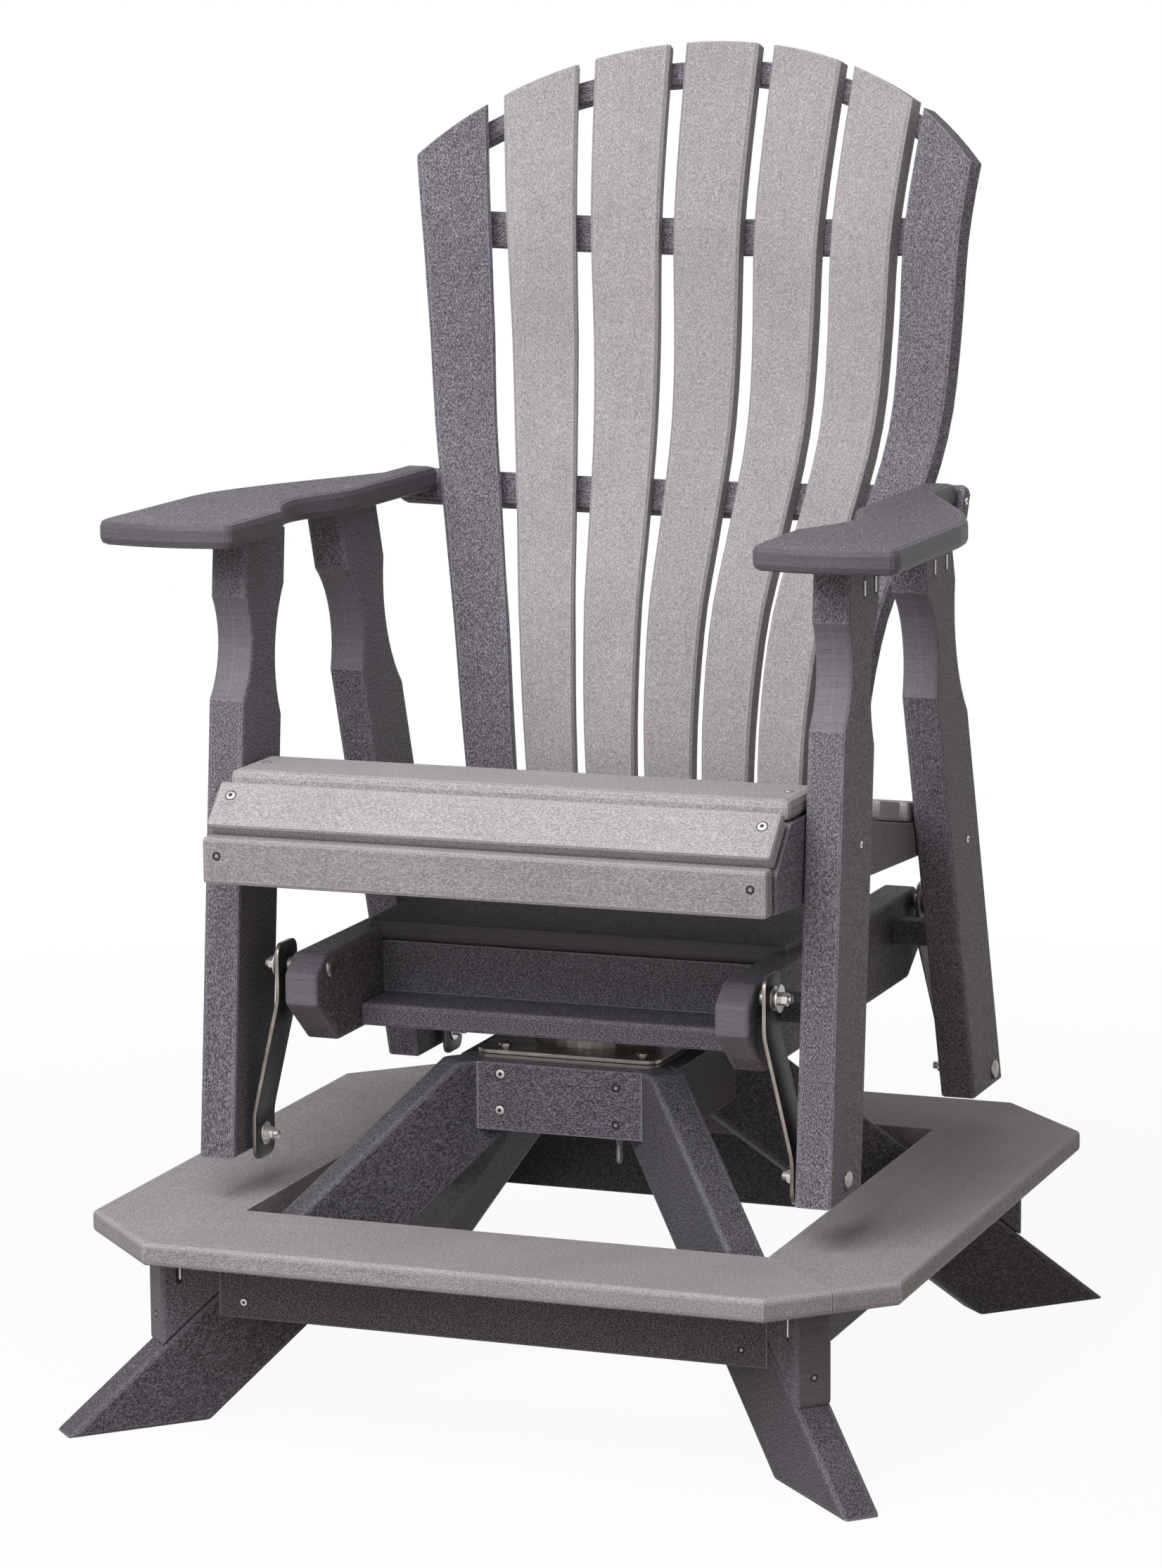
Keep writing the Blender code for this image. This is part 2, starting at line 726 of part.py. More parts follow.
def post_outline(face, lean, scoop_low, scoop_high):
    """Side view of a leaning post, scooped in front and behind below the arm."""
    slope = math.tan(lean)
    width = POST_WIDTH / math.cos(lean)
    top = ARM_TOP - ARM_THICK - GAP

    def front(z):
        return (face + (z - POST_BOTTOM) * slope, z)

    def back(z):
        return (front(z)[0] + width, z)

    outline = [front(POST_BOTTOM), back(POST_BOTTOM)]
    low, high = scoop_low - BACK_SCOOP_DROP, scoop_high + BACK_SCOOP_RISE
    outline += arc_between(back(low), back(high), SCOOP_DEPTH, SCOOP_STEPS)
    outline += [back(top), front(top)]
    outline += arc_between(front(scoop_high), front(scoop_low), SCOOP_DEPTH, SCOOP_STEPS)
    return outline


def make_post(name, side, outline, pivot_y, anchor):
    shape = prism(outline, "X", POST_INNER, POST_OUTER)

    def lengthwise(edge):
        return edge.verts[0].co.x == edge.verts[1].co.x

    round_edges(shape, EDGE_ROUND, EDGE_SEGMENTS, lengthwise)
    post = add_piece(name, flip_side(shape, side), CHARCOAL, anchor)
    hole = bolt_hole(name + "_hole", pivot_y, PIVOT_LOW, POST_INNER, POST_OUTER, side, anchor)
    combine(post, hole, "DIFFERENCE")


def ease(share):
    return (1 - math.cos(math.pi * share)) / 2


def quick_start(share):
    return math.sin(math.pi * share / 2)


def quarter_round(start, end):
    """Points of a quarter circle from start to end that bulges to the left."""
    chord = (Vector(end) - Vector(start)).length
    return arc_between(start, end, chord * (1 - math.sqrt(0.5)) / math.sqrt(2), ARM_CORNER_STEPS)


def sweep_between(start, end, shape):
    """Points from start to end in plan, shape giving the share of the way across."""
    points = []
    for step in range(ARM_STEPS + 1):
        share = step / ARM_STEPS
        points.append((start[0] + (end[0] - start[0]) * shape(share), start[1] + (end[1] - start[1]) * share))
    return points


def arm_outline(rear):
    """Plan of the +X arm: bowed front, broad paddle, waisted inside, narrow tail."""
    shoulder = ARM_FRONT + ARM_NOSE_BOW
    corner = shoulder + ARM_CORNER
    points = quarter_round((ARM_OUTER, corner), (ARM_OUTER - ARM_CORNER, shoulder))
    nose = arc_between(points[-1], (ARM_INNER + ARM_CORNER, shoulder), ARM_NOSE_BOW, ARM_STEPS)
    points += nose[1:]
    points += quarter_round(nose[-1], (ARM_INNER, corner))[1:]
    points += sweep_between((ARM_INNER, ARM_BELLY_START), (ARM_BELLY_X, ARM_BELLY_PEAK), quick_start)
    points += sweep_between((ARM_BELLY_X, ARM_BELLY_PEAK), (ARM_TAIL_INNER, ARM_BELLY_END), ease)[1:]
    points += [(ARM_TAIL_INNER, rear), (ARM_TAIL_OUTER, rear)]
    for length_share, narrowing_share in reversed(ARM_WAIST_SHARES):
        x = ARM_OUTER + (ARM_TAIL_OUTER - ARM_OUTER) * narrowing_share
        points.append((x, ARM_WAIST_START + (ARM_WAIST_END - ARM_WAIST_START) * length_share))
    return points


def make_arm(name, side, anchor):
    rear = min(
        rail_face_y(ARM_TAIL_OUTER, ARM_TOP - ARM_THICK),
        rail_face_y(ARM_TAIL_OUTER, ARM_TOP),
    )
    shape = prism(arm_outline(rear - 3 * GAP), "Z", ARM_TOP - ARM_THICK, ARM_TOP)

    def rim(edge):
        return edge.verts[0].co.z == edge.verts[1].co.z

    round_edges(shape, NOSE_ROUND, EDGE_SEGMENTS, rim)
    add_piece(name, flip_side(shape, side), CHARCOAL, anchor)


def deck_height(y):
    """Top of the seat behind the front slat: a shallow dip through three points."""
    knots = (
        (FRONT_SLAT_REAR, SEAT_TOP),
        (DECK_MIDDLE_Y, DECK_MIDDLE_Z),
        (DECK_REAR, DECK_REAR_Z),
    )
    height = 0
    for here, (own_y, own_z) in enumerate(knots):
        weight = 1
        for other, (other_y, other_z) in enumerate(knots):
            if other != here:
                weight *= (y - other_y) / (own_y - other_y)
        height += own_z * weight
    return height


def deck_edges():
    """Front and rear y of each slat behind the front one, the last one narrower."""
    edges = [(DECK_LAST_FRONT, DECK_REAR)]
    while len(edges) < DECK_SLATS:
        rear = edges[0][0] - DECK_GAP
        edges.insert(0, (rear - DECK_SLAT_WIDTH, rear))
    return edges


def slab_between(front, rear, thick):
    """Side view of a slat whose upper face runs from front to rear, each (y, z)."""
    along = Vector((rear[0] - front[0], rear[1] - front[1])).normalized()
    down = Vector((along.y, -along.x)) * thick
    return [front, rear, (rear[0] + down.x, rear[1] + down.y), (front[0] + down.x, front[1] + down.y)]


def make_seat_slat(name, outline, anchor, width=None):
    shape = prism(outline, "X", -SEAT_SLAT_HALF, SEAT_SLAT_HALF)
    add_piece(name, round_edges(shape, width or EDGE_ROUND), TAUPE, anchor)


def make_seat_slats(anchor):
    low_rear = STRINGER_FRONT - GAP
    low_front = low_rear - SEAT_SLAT_THICK
    low = [
        (low_front, LOW_SLAT_LOW),
        (low_rear, LOW_SLAT_LOW),
        (low_rear, LOW_SLAT_HIGH),
        (low_front, LOW_SLAT_HIGH),
    ]
    make_seat_slat("seat_lower_slat", low, anchor)
    slant = slab_between((SLANT_LOW_Y, SLANT_LOW_Z), (SLANT_HIGH_Y, SLANT_HIGH_Z), SEAT_SLAT_THICK)
    make_seat_slat("seat_slanted_slat", slant, anchor)
    first = slab_between((FRONT_SLAT_FRONT, SEAT_TOP), (FRONT_SLAT_REAR, SEAT_TOP), SEAT_SLAT_THICK)
    make_seat_slat("seat_slat_1", first, anchor, NOSE_ROUND)
    for index, (front, rear) in enumerate(deck_edges()):
        outline = slab_between((front, deck_height(front)), (rear, deck_height(rear)), SEAT_SLAT_THICK)
        make_seat_slat("seat_slat_" + str(index + 2), outline, anchor)


def stringer_outline():
    """Side view of a seat side board: square nose, bevel, level seat, dip and tail."""
    under = SEAT_SLAT_THICK + 2 * GAP
    slant = slab_between((SLANT_LOW_Y, SLANT_LOW_Z), (SLANT_HIGH_Y, SLANT_HIGH_Z), under)
    upper, lower = Vector(slant[2]), Vector(slant[3])
    rise = (upper.y - lower.y) / (upper.x - lower.x)
    nose_top = lower.y + (STRINGER_FRONT - lower.x) * rise
    level = SEAT_TOP - under
    level_front = lower.x + (level - lower.y) / rise
    outline = [(STRINGER_FRONT, STRINGER_FOOT_FRONT), (STRINGER_FRONT, nose_top), (level_front, level)]
    outline.append((FRONT_SLAT_REAR, level))
    for front, rear in deck_edges():
        slab = slab_between((front, deck_height(front)), (rear, deck_height(rear)), under)
        outline += [slab[3], slab[2]]
    tail = outline[-1][1]
    outline += [(STRINGER_REAR, tail), (STRINGER_REAR, STRINGER_FOOT_REAR)]
    outline.append((STRINGER_FOOT_MIDDLE_Y, STRINGER_FOOT_MIDDLE))
    return outline


def make_stringer(name, side, anchor):
    shape = prism(stringer_outline(), "X", STRINGER_OUTER - BOARD_THICK, STRINGER_OUTER)
    add_piece(name, flip_side(shape, side), CHARCOAL, anchor)


# Back


def smooth_through(knots):
    """Closely spaced points of a smooth curve through knots, with the knots among them."""
    knots = [2 * knots[0] - knots[1]] + knots + [2 * knots[-1] - knots[-2]]
    points = []
    for span in range(len(knots) - 3):
        before, start, end, after = knots[span:span + 4]
        for step in range(BACK_FINE_STEPS):
            t = step / BACK_FINE_STEPS
            swing = (end - before) * t + (2 * before - 5 * start + 4 * end - after) * t ** 2
            swing += (3 * start - before - 3 * end + after) * t ** 3
            points.append(start + swing / 2)
    points.append(knots[-2])
    return points


def back_line():
    """The middle slat's front face from foot to crown as (y, z) points."""
    knots = []
    for recline_share, rise_share in BACK_PROFILE_SHARES:
        y = BACK_FOOT_Y + BACK_RECLINE * recline_share
        z = BACK_FOOT_Z + BACK_RISE * rise_share
        knots.append(Vector((y, z)))
    return smooth_through(knots)


def measure(points):
    """Running length along a list of points."""
    lengths = [0]
    for here, after in zip(points, points[1:]):
        lengths.append(lengths[-1] + (after - here).length)
    return lengths


BACK_FINE_STEPS = 12
BACK_LINE = back_line()
BACK_LENGTHS = measure(BACK_LINE)
BACK_LENGTH = BACK_LENGTHS[-1]
WRAP_REARWARD = Vector((math.cos(BACK_WRAP_TILT), -math.sin(BACK_WRAP_TILT)))
PITCH_CURVE = smooth_through([Vector(knot) for knot in BACK_PITCH_SHARES])


def back_frame(s):
    """Point, up direction and rearward normal of the middle slat's front at length s, as (y, z)."""
    last = len(BACK_LINE) - 2
    index = 0
    while index < last and BACK_LENGTHS[index + 1] < s:
        index += 1
    start, end = BACK_LINE[index], BACK_LINE[index + 1]
    along = (end - start).normalized()
    point = start + along * (s - BACK_LENGTHS[index])
    if 0 < index < last:
        before = (BACK_LINE[index] - BACK_LINE[index - 1]).normalized()
        after = (BACK_LINE[index + 2] - BACK_LINE[index + 1]).normalized()
        share = min(max((s - BACK_LENGTHS[index]) / (BACK_LENGTHS[index + 1] - BACK_LENGTHS[index]), 0), 1)
        start_way = (before + along).normalized()
        end_way = (along + after).normalized()
        along = (start_way * (1 - share) + end_way * share).normalized()
    return point, along, Vector((along.y, -along.x))


def back_length_at(z):
    """Length along the middle slat at a height."""
    for index, point in enumerate(BACK_LINE):
        if point.y >= z:
            return BACK_LENGTHS[index]
    return BACK_LENGTH


def back_point(s, wrap, across, depth):
    """World point at length s, wrap angle, offset across the slat and depth behind its front."""
    point, along, normal = back_frame(s)
    radius = BACK_WRAP_RADIUS
    x = radius * math.sin(wrap) + across * math.cos(wrap) + depth * math.sin(wrap)
    inward = radius * (math.cos(wrap) - 1) - across * math.sin(wrap)
    place = point + WRAP_REARWARD * inward + normal * depth * math.cos(wrap)
    return Vector((x, place.x, place.y))


def slat_pitch(s):
    """Distance between the middles of neighbouring slats at length s, measured round the wrap."""
    length_share = s / BACK_LENGTH
    pairs = list(zip(PITCH_CURVE, PITCH_CURVE[1:]))
    lower, upper = next((pair for pair in pairs if pair[1].x >= length_share), pairs[-1])
    pitch_share = lower.y + (upper.y - lower.y) * (length_share - lower.x) / (upper.x - lower.x)
    return BACK_LOW_PITCH + (BACK_HIGH_PITCH - BACK_LOW_PITCH) * pitch_share


def slat_width(s):
    return BACK_LOW_WIDTH + (BACK_HIGH_WIDTH - BACK_LOW_WIDTH) * s / BACK_LENGTH


def crown_length(offset):
    """Length of the back at a distance from its middle line, under the round crown."""
    return BACK_LENGTH - BACK_CROWN_RADIUS + math.sqrt(BACK_CROWN_RADIUS ** 2 - offset ** 2)


def lane_top(order, lane):
    s = BACK_LENGTH
    for attempt in range(8):
        s = crown_length(order * slat_pitch(s) + lane * slat_width(s))
    return s


def slat_section():
    """Front then rear points of a slat's cross-section as (lane share, depth)."""
    edge_share = BACK_EDGE_CUT / slat_width(BACK_LENGTH / 2)
    inner = [(-0.5 + edge_share) * (1 - 2 * step / (BACK_LANES - 1)) for step in range(BACK_LANES)]
    front = [(-0.5, BACK_EDGE_CUT)] + [(lane, 0) for lane in inner] + [(0.5, BACK_EDGE_CUT)]
    rear = [(lane, SLAT_THICK) for lane, depth in reversed(front)]
    return front + rear


def make_back_slat(index, anchor):
    order = index - (BACK_SLATS - 1) / 2
    section = slat_section()
    tops = [lane_top(order, lane) for lane, depth in section]
    rings = []
    for station in range(BACK_STATIONS):
        share = station / (BACK_STATIONS - 1)
        ring = []
        for (lane, depth), top in zip(section, tops):
            s = top * share
            wrap = order * slat_pitch(s) / BACK_WRAP_RADIUS
            ring.append(back_point(s, wrap, lane * slat_width(s), depth))
        rings.append(ring)
    shape = loft(rings, closed_ends=False)
    close_flat_end(shape, len(section), 0)
    close_flat_end(shape, len(section), len(shape.verts) - len(section))
    bmesh.ops.recalc_face_normals(shape, faces=shape.faces)
    is_outer = index in (0, BACK_SLATS - 1)
    add_piece("back_slat_" + str(index + 1), shape, CHARCOAL if is_outer else TAUPE, anchor)


def close_flat_end(shape, count, start):
    """Cap a slat's end with quads from its front points to its rear points."""
    shape.verts.ensure_lookup_table()
    ring = [shape.verts[start + offset] for offset in range(count)]
    for here in range(count // 2 - 1):
        shape.faces.new((ring[here], ring[here + 1], ring[count - 2 - here], ring[count - 1 - here]))


def rail_front(s, reach, height):
    """Depth of a rail's front face, clear of the slats' bow, their flat backs and its own facets."""
    middle, along, normal = back_frame(s)
    bows = [(back_frame(s + end * height)[0] - middle).dot(normal) for end in (-0.5, 0.5)]
    radius = BACK_WRAP_RADIUS + SLAT_THICK
    half = slat_width(s) / 2
    slat_bulge = math.sqrt(radius * radius + half * half) - radius
    facet = 2 * math.asin(reach / radius) / RAIL_ARC_STEPS
    facet_sag = radius * (1 - math.cos(facet / 2))
    return SLAT_THICK + max(0, *bows) + slat_bulge + facet_sag + 2 * GAP


def rail_length(z, reach, height):
    """Length up the back at which the middle of a rail's front face lies at z."""
    s = back_length_at(z)
    for attempt in range(8):
        point, along, normal = back_frame(s)
        s += (z - point.y - normal.y * rail_front(s, reach, height)) / along.y
    return s


def make_band(name, length_at, reach, height, depth, anchor):
    """A curved rail behind the slats, cut square at both ends.

    length_at gives the length up the back at which the rail lies for an offset from the middle.
    """
    front = rail_front(length_at(0), reach, height)
    near_end = math.asin(reach / (BACK_WRAP_RADIUS + front))
    far_end = math.asin(reach / (BACK_WRAP_RADIUS + front + depth))
    rings = []
    for step in range(RAIL_ARC_STEPS + 1):
        share = 2 * step / RAIL_ARC_STEPS - 1
        middle = length_at(near_end * share * BACK_WRAP_RADIUS)
        point, along, normal = back_frame(middle)
        up = Vector((0, along.x, along.y)) * height / 2
        near = back_point(middle, near_end * share, 0, front)
        far = back_point(middle, far_end * share, 0, front + depth)
        rings.append([near - up, far - up, far + up, near + up])
    shape = round_edges(loft(rings), NOSE_ROUND)
    add_piece(name, shape, CHARCOAL, anchor)


ARM_RAIL_Z = ARM_TOP - ARM_RAIL_DROP


def rail_face_y(x, z):
    """Front face of the arm-level rail: the y at which it passes a given x and z."""
    length = rail_length(ARM_RAIL_Z, ARM_RAIL_REACH, ARM_RAIL_HEIGHT)
    point, along, normal = back_frame(length)
    front = rail_front(length, ARM_RAIL_REACH, ARM_RAIL_HEIGHT)
    wrap = math.asin(x / (BACK_WRAP_RADIUS + front))
    place = back_point(length, wrap, 0, front)
    return place.y + (z - place.z) * along.x / along.y


def make_back(anchor):
    for index in range(BACK_SLATS):
        make_back_slat(index, anchor)
    low_reach = STRINGER_OUTER - BOARD_THICK - 2 * GAP
    levels = {
        "back_mid_rail": (MID_RAIL_Z, MID_RAIL_REACH, MID_RAIL_HEIGHT, MID_RAIL_DEPTH),
        "back_arm_rail": (ARM_RAIL_Z, ARM_RAIL_REACH, ARM_RAIL_HEIGHT, ARM_RAIL_DEPTH),
        "back_low_rail": (LOW_RAIL_Z, low_reach, LOW_RAIL_HEIGHT, LOW_RAIL_DEPTH),
    }
    for name, (z, reach, height, depth) in levels.items():
        length = rail_length(z, reach, height)
        make_band(name, lambda offset, length=length: length, reach, height, depth, anchor)

    def below_crown(offset):
        return crown_length(offset) - TOP_RAIL_DROP

    make_band("back_top_rail", below_crown, TOP_RAIL_REACH, TOP_RAIL_HEIGHT, TOP_RAIL_DEPTH, anchor)


def make_seat(anchor):
    front = post_outline(FRONT_POST_FACE, FRONT_POST_LEAN, FRONT_SCOOP_LOW, FRONT_SCOOP_HIGH)
    rear = post_outline(REAR_POST_FACE, REAR_POST_LEAN, REAR_SCOOP_LOW, REAR_SCOOP_HIGH)
    for side, word in ((1, "right"), (-1, "left")):
        make_post("post_front_" + word, side, front, PIVOT_FRONT, anchor)
        make_post("post_rear_" + word, side, rear, PIVOT_REAR, anchor)
        make_arm("arm_" + word, side, anchor)
        make_stringer("stringer_" + word, side, anchor)
    make_seat_slats(anchor)
    make_back(anchor)


def main():
    clear_scene()
    make_stand(make_anchor("stand_origin", (0, 0, 0)))
    make_carriage(make_anchor("swivel_axis", (0, 0, HUB_TOP)))
    for side, word in ((1, "right"), (-1, "left")):
        for end, y in (("front", PIVOT_FRONT), ("rear", PIVOT_REAR)):
            place = (side * STRAP_UPPER_X, y, PIVOT_HIGH)
            name = "link_" + end + "_" + word
            make_link(name, side, y, make_anchor(name + "_pivot", place))
    seat_place = (-STRAP_LOWER_X, PIVOT_FRONT, PIVOT_LOW)
    make_seat(make_anchor("seat_pivot", seat_place))


main()
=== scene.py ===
import json
import math
import random

import bmesh
import bpy
from mathutils import Matrix, Vector


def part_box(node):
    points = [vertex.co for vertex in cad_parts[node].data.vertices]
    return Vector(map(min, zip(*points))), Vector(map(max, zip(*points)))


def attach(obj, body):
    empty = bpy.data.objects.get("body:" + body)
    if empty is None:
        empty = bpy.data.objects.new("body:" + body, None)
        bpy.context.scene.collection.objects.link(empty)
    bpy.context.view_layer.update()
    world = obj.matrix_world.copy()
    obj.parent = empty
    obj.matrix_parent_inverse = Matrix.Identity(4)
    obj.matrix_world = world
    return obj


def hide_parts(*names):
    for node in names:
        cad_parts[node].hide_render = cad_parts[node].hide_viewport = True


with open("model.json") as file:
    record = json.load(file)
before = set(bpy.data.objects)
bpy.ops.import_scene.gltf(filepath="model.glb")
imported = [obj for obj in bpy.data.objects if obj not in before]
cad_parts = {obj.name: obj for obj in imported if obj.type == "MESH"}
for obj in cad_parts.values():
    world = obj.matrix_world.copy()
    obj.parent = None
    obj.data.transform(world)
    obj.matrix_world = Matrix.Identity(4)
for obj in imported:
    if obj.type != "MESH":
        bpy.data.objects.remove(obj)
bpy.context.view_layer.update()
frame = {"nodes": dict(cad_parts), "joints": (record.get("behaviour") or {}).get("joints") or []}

INCH = 0.0254
SIDES = {"right": 1, "left": -1}
ENDS = {"front": -1, "rear": 1}

# Pivots of the straps, from the joints, in inches
JOINTS = {joint["name"]: [part / INCH for part in joint["pos_m"]] for joint in frame["joints"]}
STRAP_UPPER_X, FRONT_PIVOT_Y, PIVOT_HIGH = JOINTS["glide_front_right"]
REAR_PIVOT_Y = JOINTS["glide_rear_right"][1]
STRAP_LOWER_X = abs(JOINTS["seat_level"][0])
PIVOT_LOW = JOINTS["seat_level"][2]
PIVOTS = {"front": FRONT_PIVOT_Y, "rear": REAR_PIVOT_Y}
PIVOT_HEIGHTS = {"upper": PIVOT_HIGH, "lower": PIVOT_LOW}

# Sizes repeated from the part's source, in inches
RAIL_INNER = 7.78
RAIL_OUTER = 9.1
POST_INNER = 11.0
POST_MIDDLE = 11.71
POST_OUTER = 12.42
STRAP_THICK = 0.15
STRAP_WIDTH = 1.75
STRAP_TIP = 0.9
STRAP_STRAIGHT_HIGH = 1.25
STRAP_STRAIGHT_LOW = 0.8

# Each post's scoop in front and behind, from its low to its high end, in inches
SCOOPS = {
    "front": ((26.5, 30.3), (25.5, 30.4)),
    "rear": ((26.03, 30.15), (25.03, 30.25)),
}
SCOOP_FADE = 0.02

# How far back the smooth face at a board's front end reaches, in inches
NOSE_REACH = 1.3
NOSE_FADE_SHARE = 1.02

# Bolts of the straps, in inches
WOOD_CLEAR = 0.012
STEEL_CLEAR = 0.004
BOLT_RADIUS = 0.15
UPPER_TAIL = 0.14
LOWER_TAIL = 0.2
NUT_ACROSS = 0.44
NUT_THICK = 0.3
HEAD_RADIUS = 0.38
HEAD_HIGH = 0.17
WASHER_THICK = 0.06
WASHER_HOLE = 0.19
WASHER_RADIUS = 0.46
UPPER_PLATE_RADIUS = 0.52
LOWER_PLATE_RADIUS = 0.44
SLEEVE_RADIUS = 0.3
SLEEVE_LONG = 0.16
SPACER_RADIUS = 0.31
SPACER_HOLE = 0.2

# The straps' tips, bends and eased edges, in inches
STRAP_TIP_ROUND = STRAP_WIDTH / 4
STRAP_TIP_STEPS = 5
STRAP_EASE = 0.018
STRAP_EASE_STEPS = 2
BEND_REACH = 0.3
BEND_STEPS = 4

# Washers and round bolt heads: eased rims, and a dome's rim and tip, as shares of their sizes
WASHER_EASE_SHARE = 0.25
DOME_RIM_SHARE = 0.12
DOME_TIP_SHARE = 0.08
DOME_STEPS = 6

# A nut's rings, as shares of its thickness and of its half width, and the angle of one flat
NUT_RING_SHARES = ((0, 1.05), (0.12, 1.2), (0.85, 1.2), (1, 1.04))
NUT_FLAT = math.pi / 3

# Threaded ends: radii as shares of the bolt's radius, and how deep the nut's bore shows, in inches
THREAD_TURNS = 6
THREAD_ROOT_SHARE = 0.88
THREAD_END_SHARE = 0.8
BORE_MOUTH_SHARE = 1.06
BORE_SHARE = 0.9
BORE_DEEP = 0.02

# Steps of the round outlines
RING_STEPS = 36
STADIUM_STEPS = 8

# A strap's edges that turn more than the first are eased, and hardware's edges that turn more
# than the second are shaded sharp
EASED_TURN = math.radians(60)
CRISP_TURN = math.radians(32)

# Radii of screw heads, and the shape of a head, in inches
SMALL_SCREW = 0.14
MIDDLE_SCREW = 0.15
DEEP_SCREW = 0.165
LARGE_SCREW = 0.18
SCREW_SINK = 0.02
SCREW_RIM = 0.008
SCREW_CROWN = 0.03
LOBES = 6
LOBE_SHARE = 0.2

# A ring of a screw head, of its drive or of a sunk head: radius and height as shares
CROWN_SHARES = ((0.93, 0.7), (0.62, 1))
DRIVE_SHARES = ((0.42, 1), (0.36, 0.35))
GLINT_HIGH = 0.009
GLINT_SHARES = ((0.5, 1 / 3), (0.45, 1), (0.3, 1), (0.24, 0.5))

# The mouth of a screw hole and the edge around a screw head, both painted shade, in inches
MOUTH_SINK = 0.004
MOUTH_PROUD = 0.005
MOUTH_FLAT = 0.004
MOUTH_SHARE = 0.8
RIM_SHARE = 1.18
RIM_THICK = 0.01

# Pockets, in inches: the mouth of painted shade, how proud it is, and the shank that shows in it as a
# painted highlight
POCKET_WIDE = 0.26
POCKET_HIGH = 0.9
POCKET_PROUD = 0.00012 / INCH
SHANK_RADIUS = 0.05
SHANK_ASIDE = 0.04
SHANK_SINK = 0.002
SHANK_LONG_SHARE = 0.62
SHANK_LOW_SHARE = 0.36

# Screws are aimed at their boards from this far away, in inches
FAR = 30

# Places of the stand's screws, in inches
HUB_SCREW_PLACES = ((-2.35, 12.17), (-2.39, 10.77))
HUB_HOLE_PLACES = ((2.28, 11.97), (2.26, 10.55))
APRON_SCREW_X = 9.73
APRON_SCREW_Z = 4.58
RISER_SCREW_Z = 4.15
RISER_POCKET_OUT = 17.45
RISER_POCKET_Z = 6.05
RISER_POCKET_HIGH = 1.35

# Places of the carriage's and the seat's screws, in inches
RAIL_SCREW_Y = -2.1
RAIL_SCREW_HEIGHTS = (16.47, 14.34)
POST_SCREW_PLACES = {"front": (-6.15, 22.11), "rear": (7.41, 19.94)}
POST_POCKET_PLACES = (
    ("front", -5.8, 31.4),
    ("front", -4.5, 31.4),
    ("rear", 2.87, 31.1),
    ("rear", 4.38, 31.1),
)
DECK_SCREW_X = 10.2
DECK_SCREW_Y = -7.7
SLAT_SCREW_X = 10.26
SLANT_SCREW_Z = 23.47
SLAT_HOLE_Z = 21.44
ARM_RAIL_SCREW_IN = 0.45
ARM_RAIL_SCREW_UP = 0.38

# Nuts on the swivel and the bolt that hangs below the hub, in inches
SWIVEL_NUT_PLACES = ((2.9, -3.2), (-2.6, -3.2), (2.9, 3.2), (-2.9, 3.2))
SWIVEL_NUT_ACROSS = 0.42
SWIVEL_NUT_THICK = 0.2
SWIVEL_NUT_TAIL = 0.1
SWIVEL_NUT_SHANK = 0.12
HUB_BOLT_PLACE = (2.2, -3.8, 8.95)
HUB_BOLT_POINT = 0.05
HUB_BOLT_TIP = 0.08
HUB_BOLT_ROOT = 0.1
HUB_BOLT_CREST = 0.115
HUB_BOLT_START = 0.1
HUB_BOLT_PITCH = 0.06
HUB_BOLT_TURNS = 14
HUB_BOLT_LONG = 1.06

# The camera: azimuth, elevation and roll in degrees, place in metres, lens in millimetres
CAMERA_ANGLES = (20.7285, 9.8194, -0.4732)
CAMERA_PLACE = (1.71143, -4.56639, 1.41945)
CAMERA_LENS = 118.061
CAMERA_SENSOR = 36
CAMERA_REACH = 50

# Each soft box: azimuth and elevation in degrees, distance and size in metres, watts and tint
SOFT_BOXES = {
    "key_light": (-10, 41, 2.1, 1.6, 42, (1, 1, 1)),
    "front_light": (-8, 14, 4.0, 1.6, 22, (1, 1, 1)),
    "fill_light": (62, 24, 4.2, 2.4, 8, (1.0, 0.9, 0.85)),
}

# The place that the soft boxes face, in metres
LIGHT_TARGET = Vector((0, 0, 0.65))

# The glow that the surroundings give
SURROUND_TINT = (1.0, 0.92, 0.89, 1)
SURROUND_GLOW = 0.22
WHITE = (1, 1, 1, 1)

# Floor, in metres
FLOOR_HALF = 4.0
FLOOR_DROP = 0.0005
FLOOR_FADE_START = 1.1
FLOOR_FADE_END = 2.2
FLOOR_GLOW_SHARE = 0.94
FLOOR_WARM = (0.34, 0.29, 0.27, 1)
FLOOR_PAPER = (0.9, 0.9, 0.9, 1)
PAPER_DARK = 0.97
PAPER_ROUGHNESS = 0.9

# Boards whose grain doesn't run along their longest side
GRAIN_DIRECTIONS = {
    "carriage_bottom_board": Vector((1, 0, 0)),
    "carriage_top_board": Vector((1, 0, 0)),
}

TAUPE_NODES = ["footrest_front", "footrest_right", "footrest_rear", "footrest_left"]
TAUPE_NODES += ["seat_lower_slat", "seat_slanted_slat"]
TAUPE_NODES += ["seat_slat_" + str(index) for index in range(1, 6)]
TAUPE_NODES += ["back_slat_" + str(index) for index in range(2, 7)]
STEEL_NODES = ["swivel_base_plate", "swivel_top_plate"]

# The order in which boards get their grain and brightness
BOARD_SEED = 7

# The first guess at a board's direction, and how often it is pulled towards the board's length
FIRST_GUESS = Vector((0.31, 0.17, 0.93))
PULLS = 40

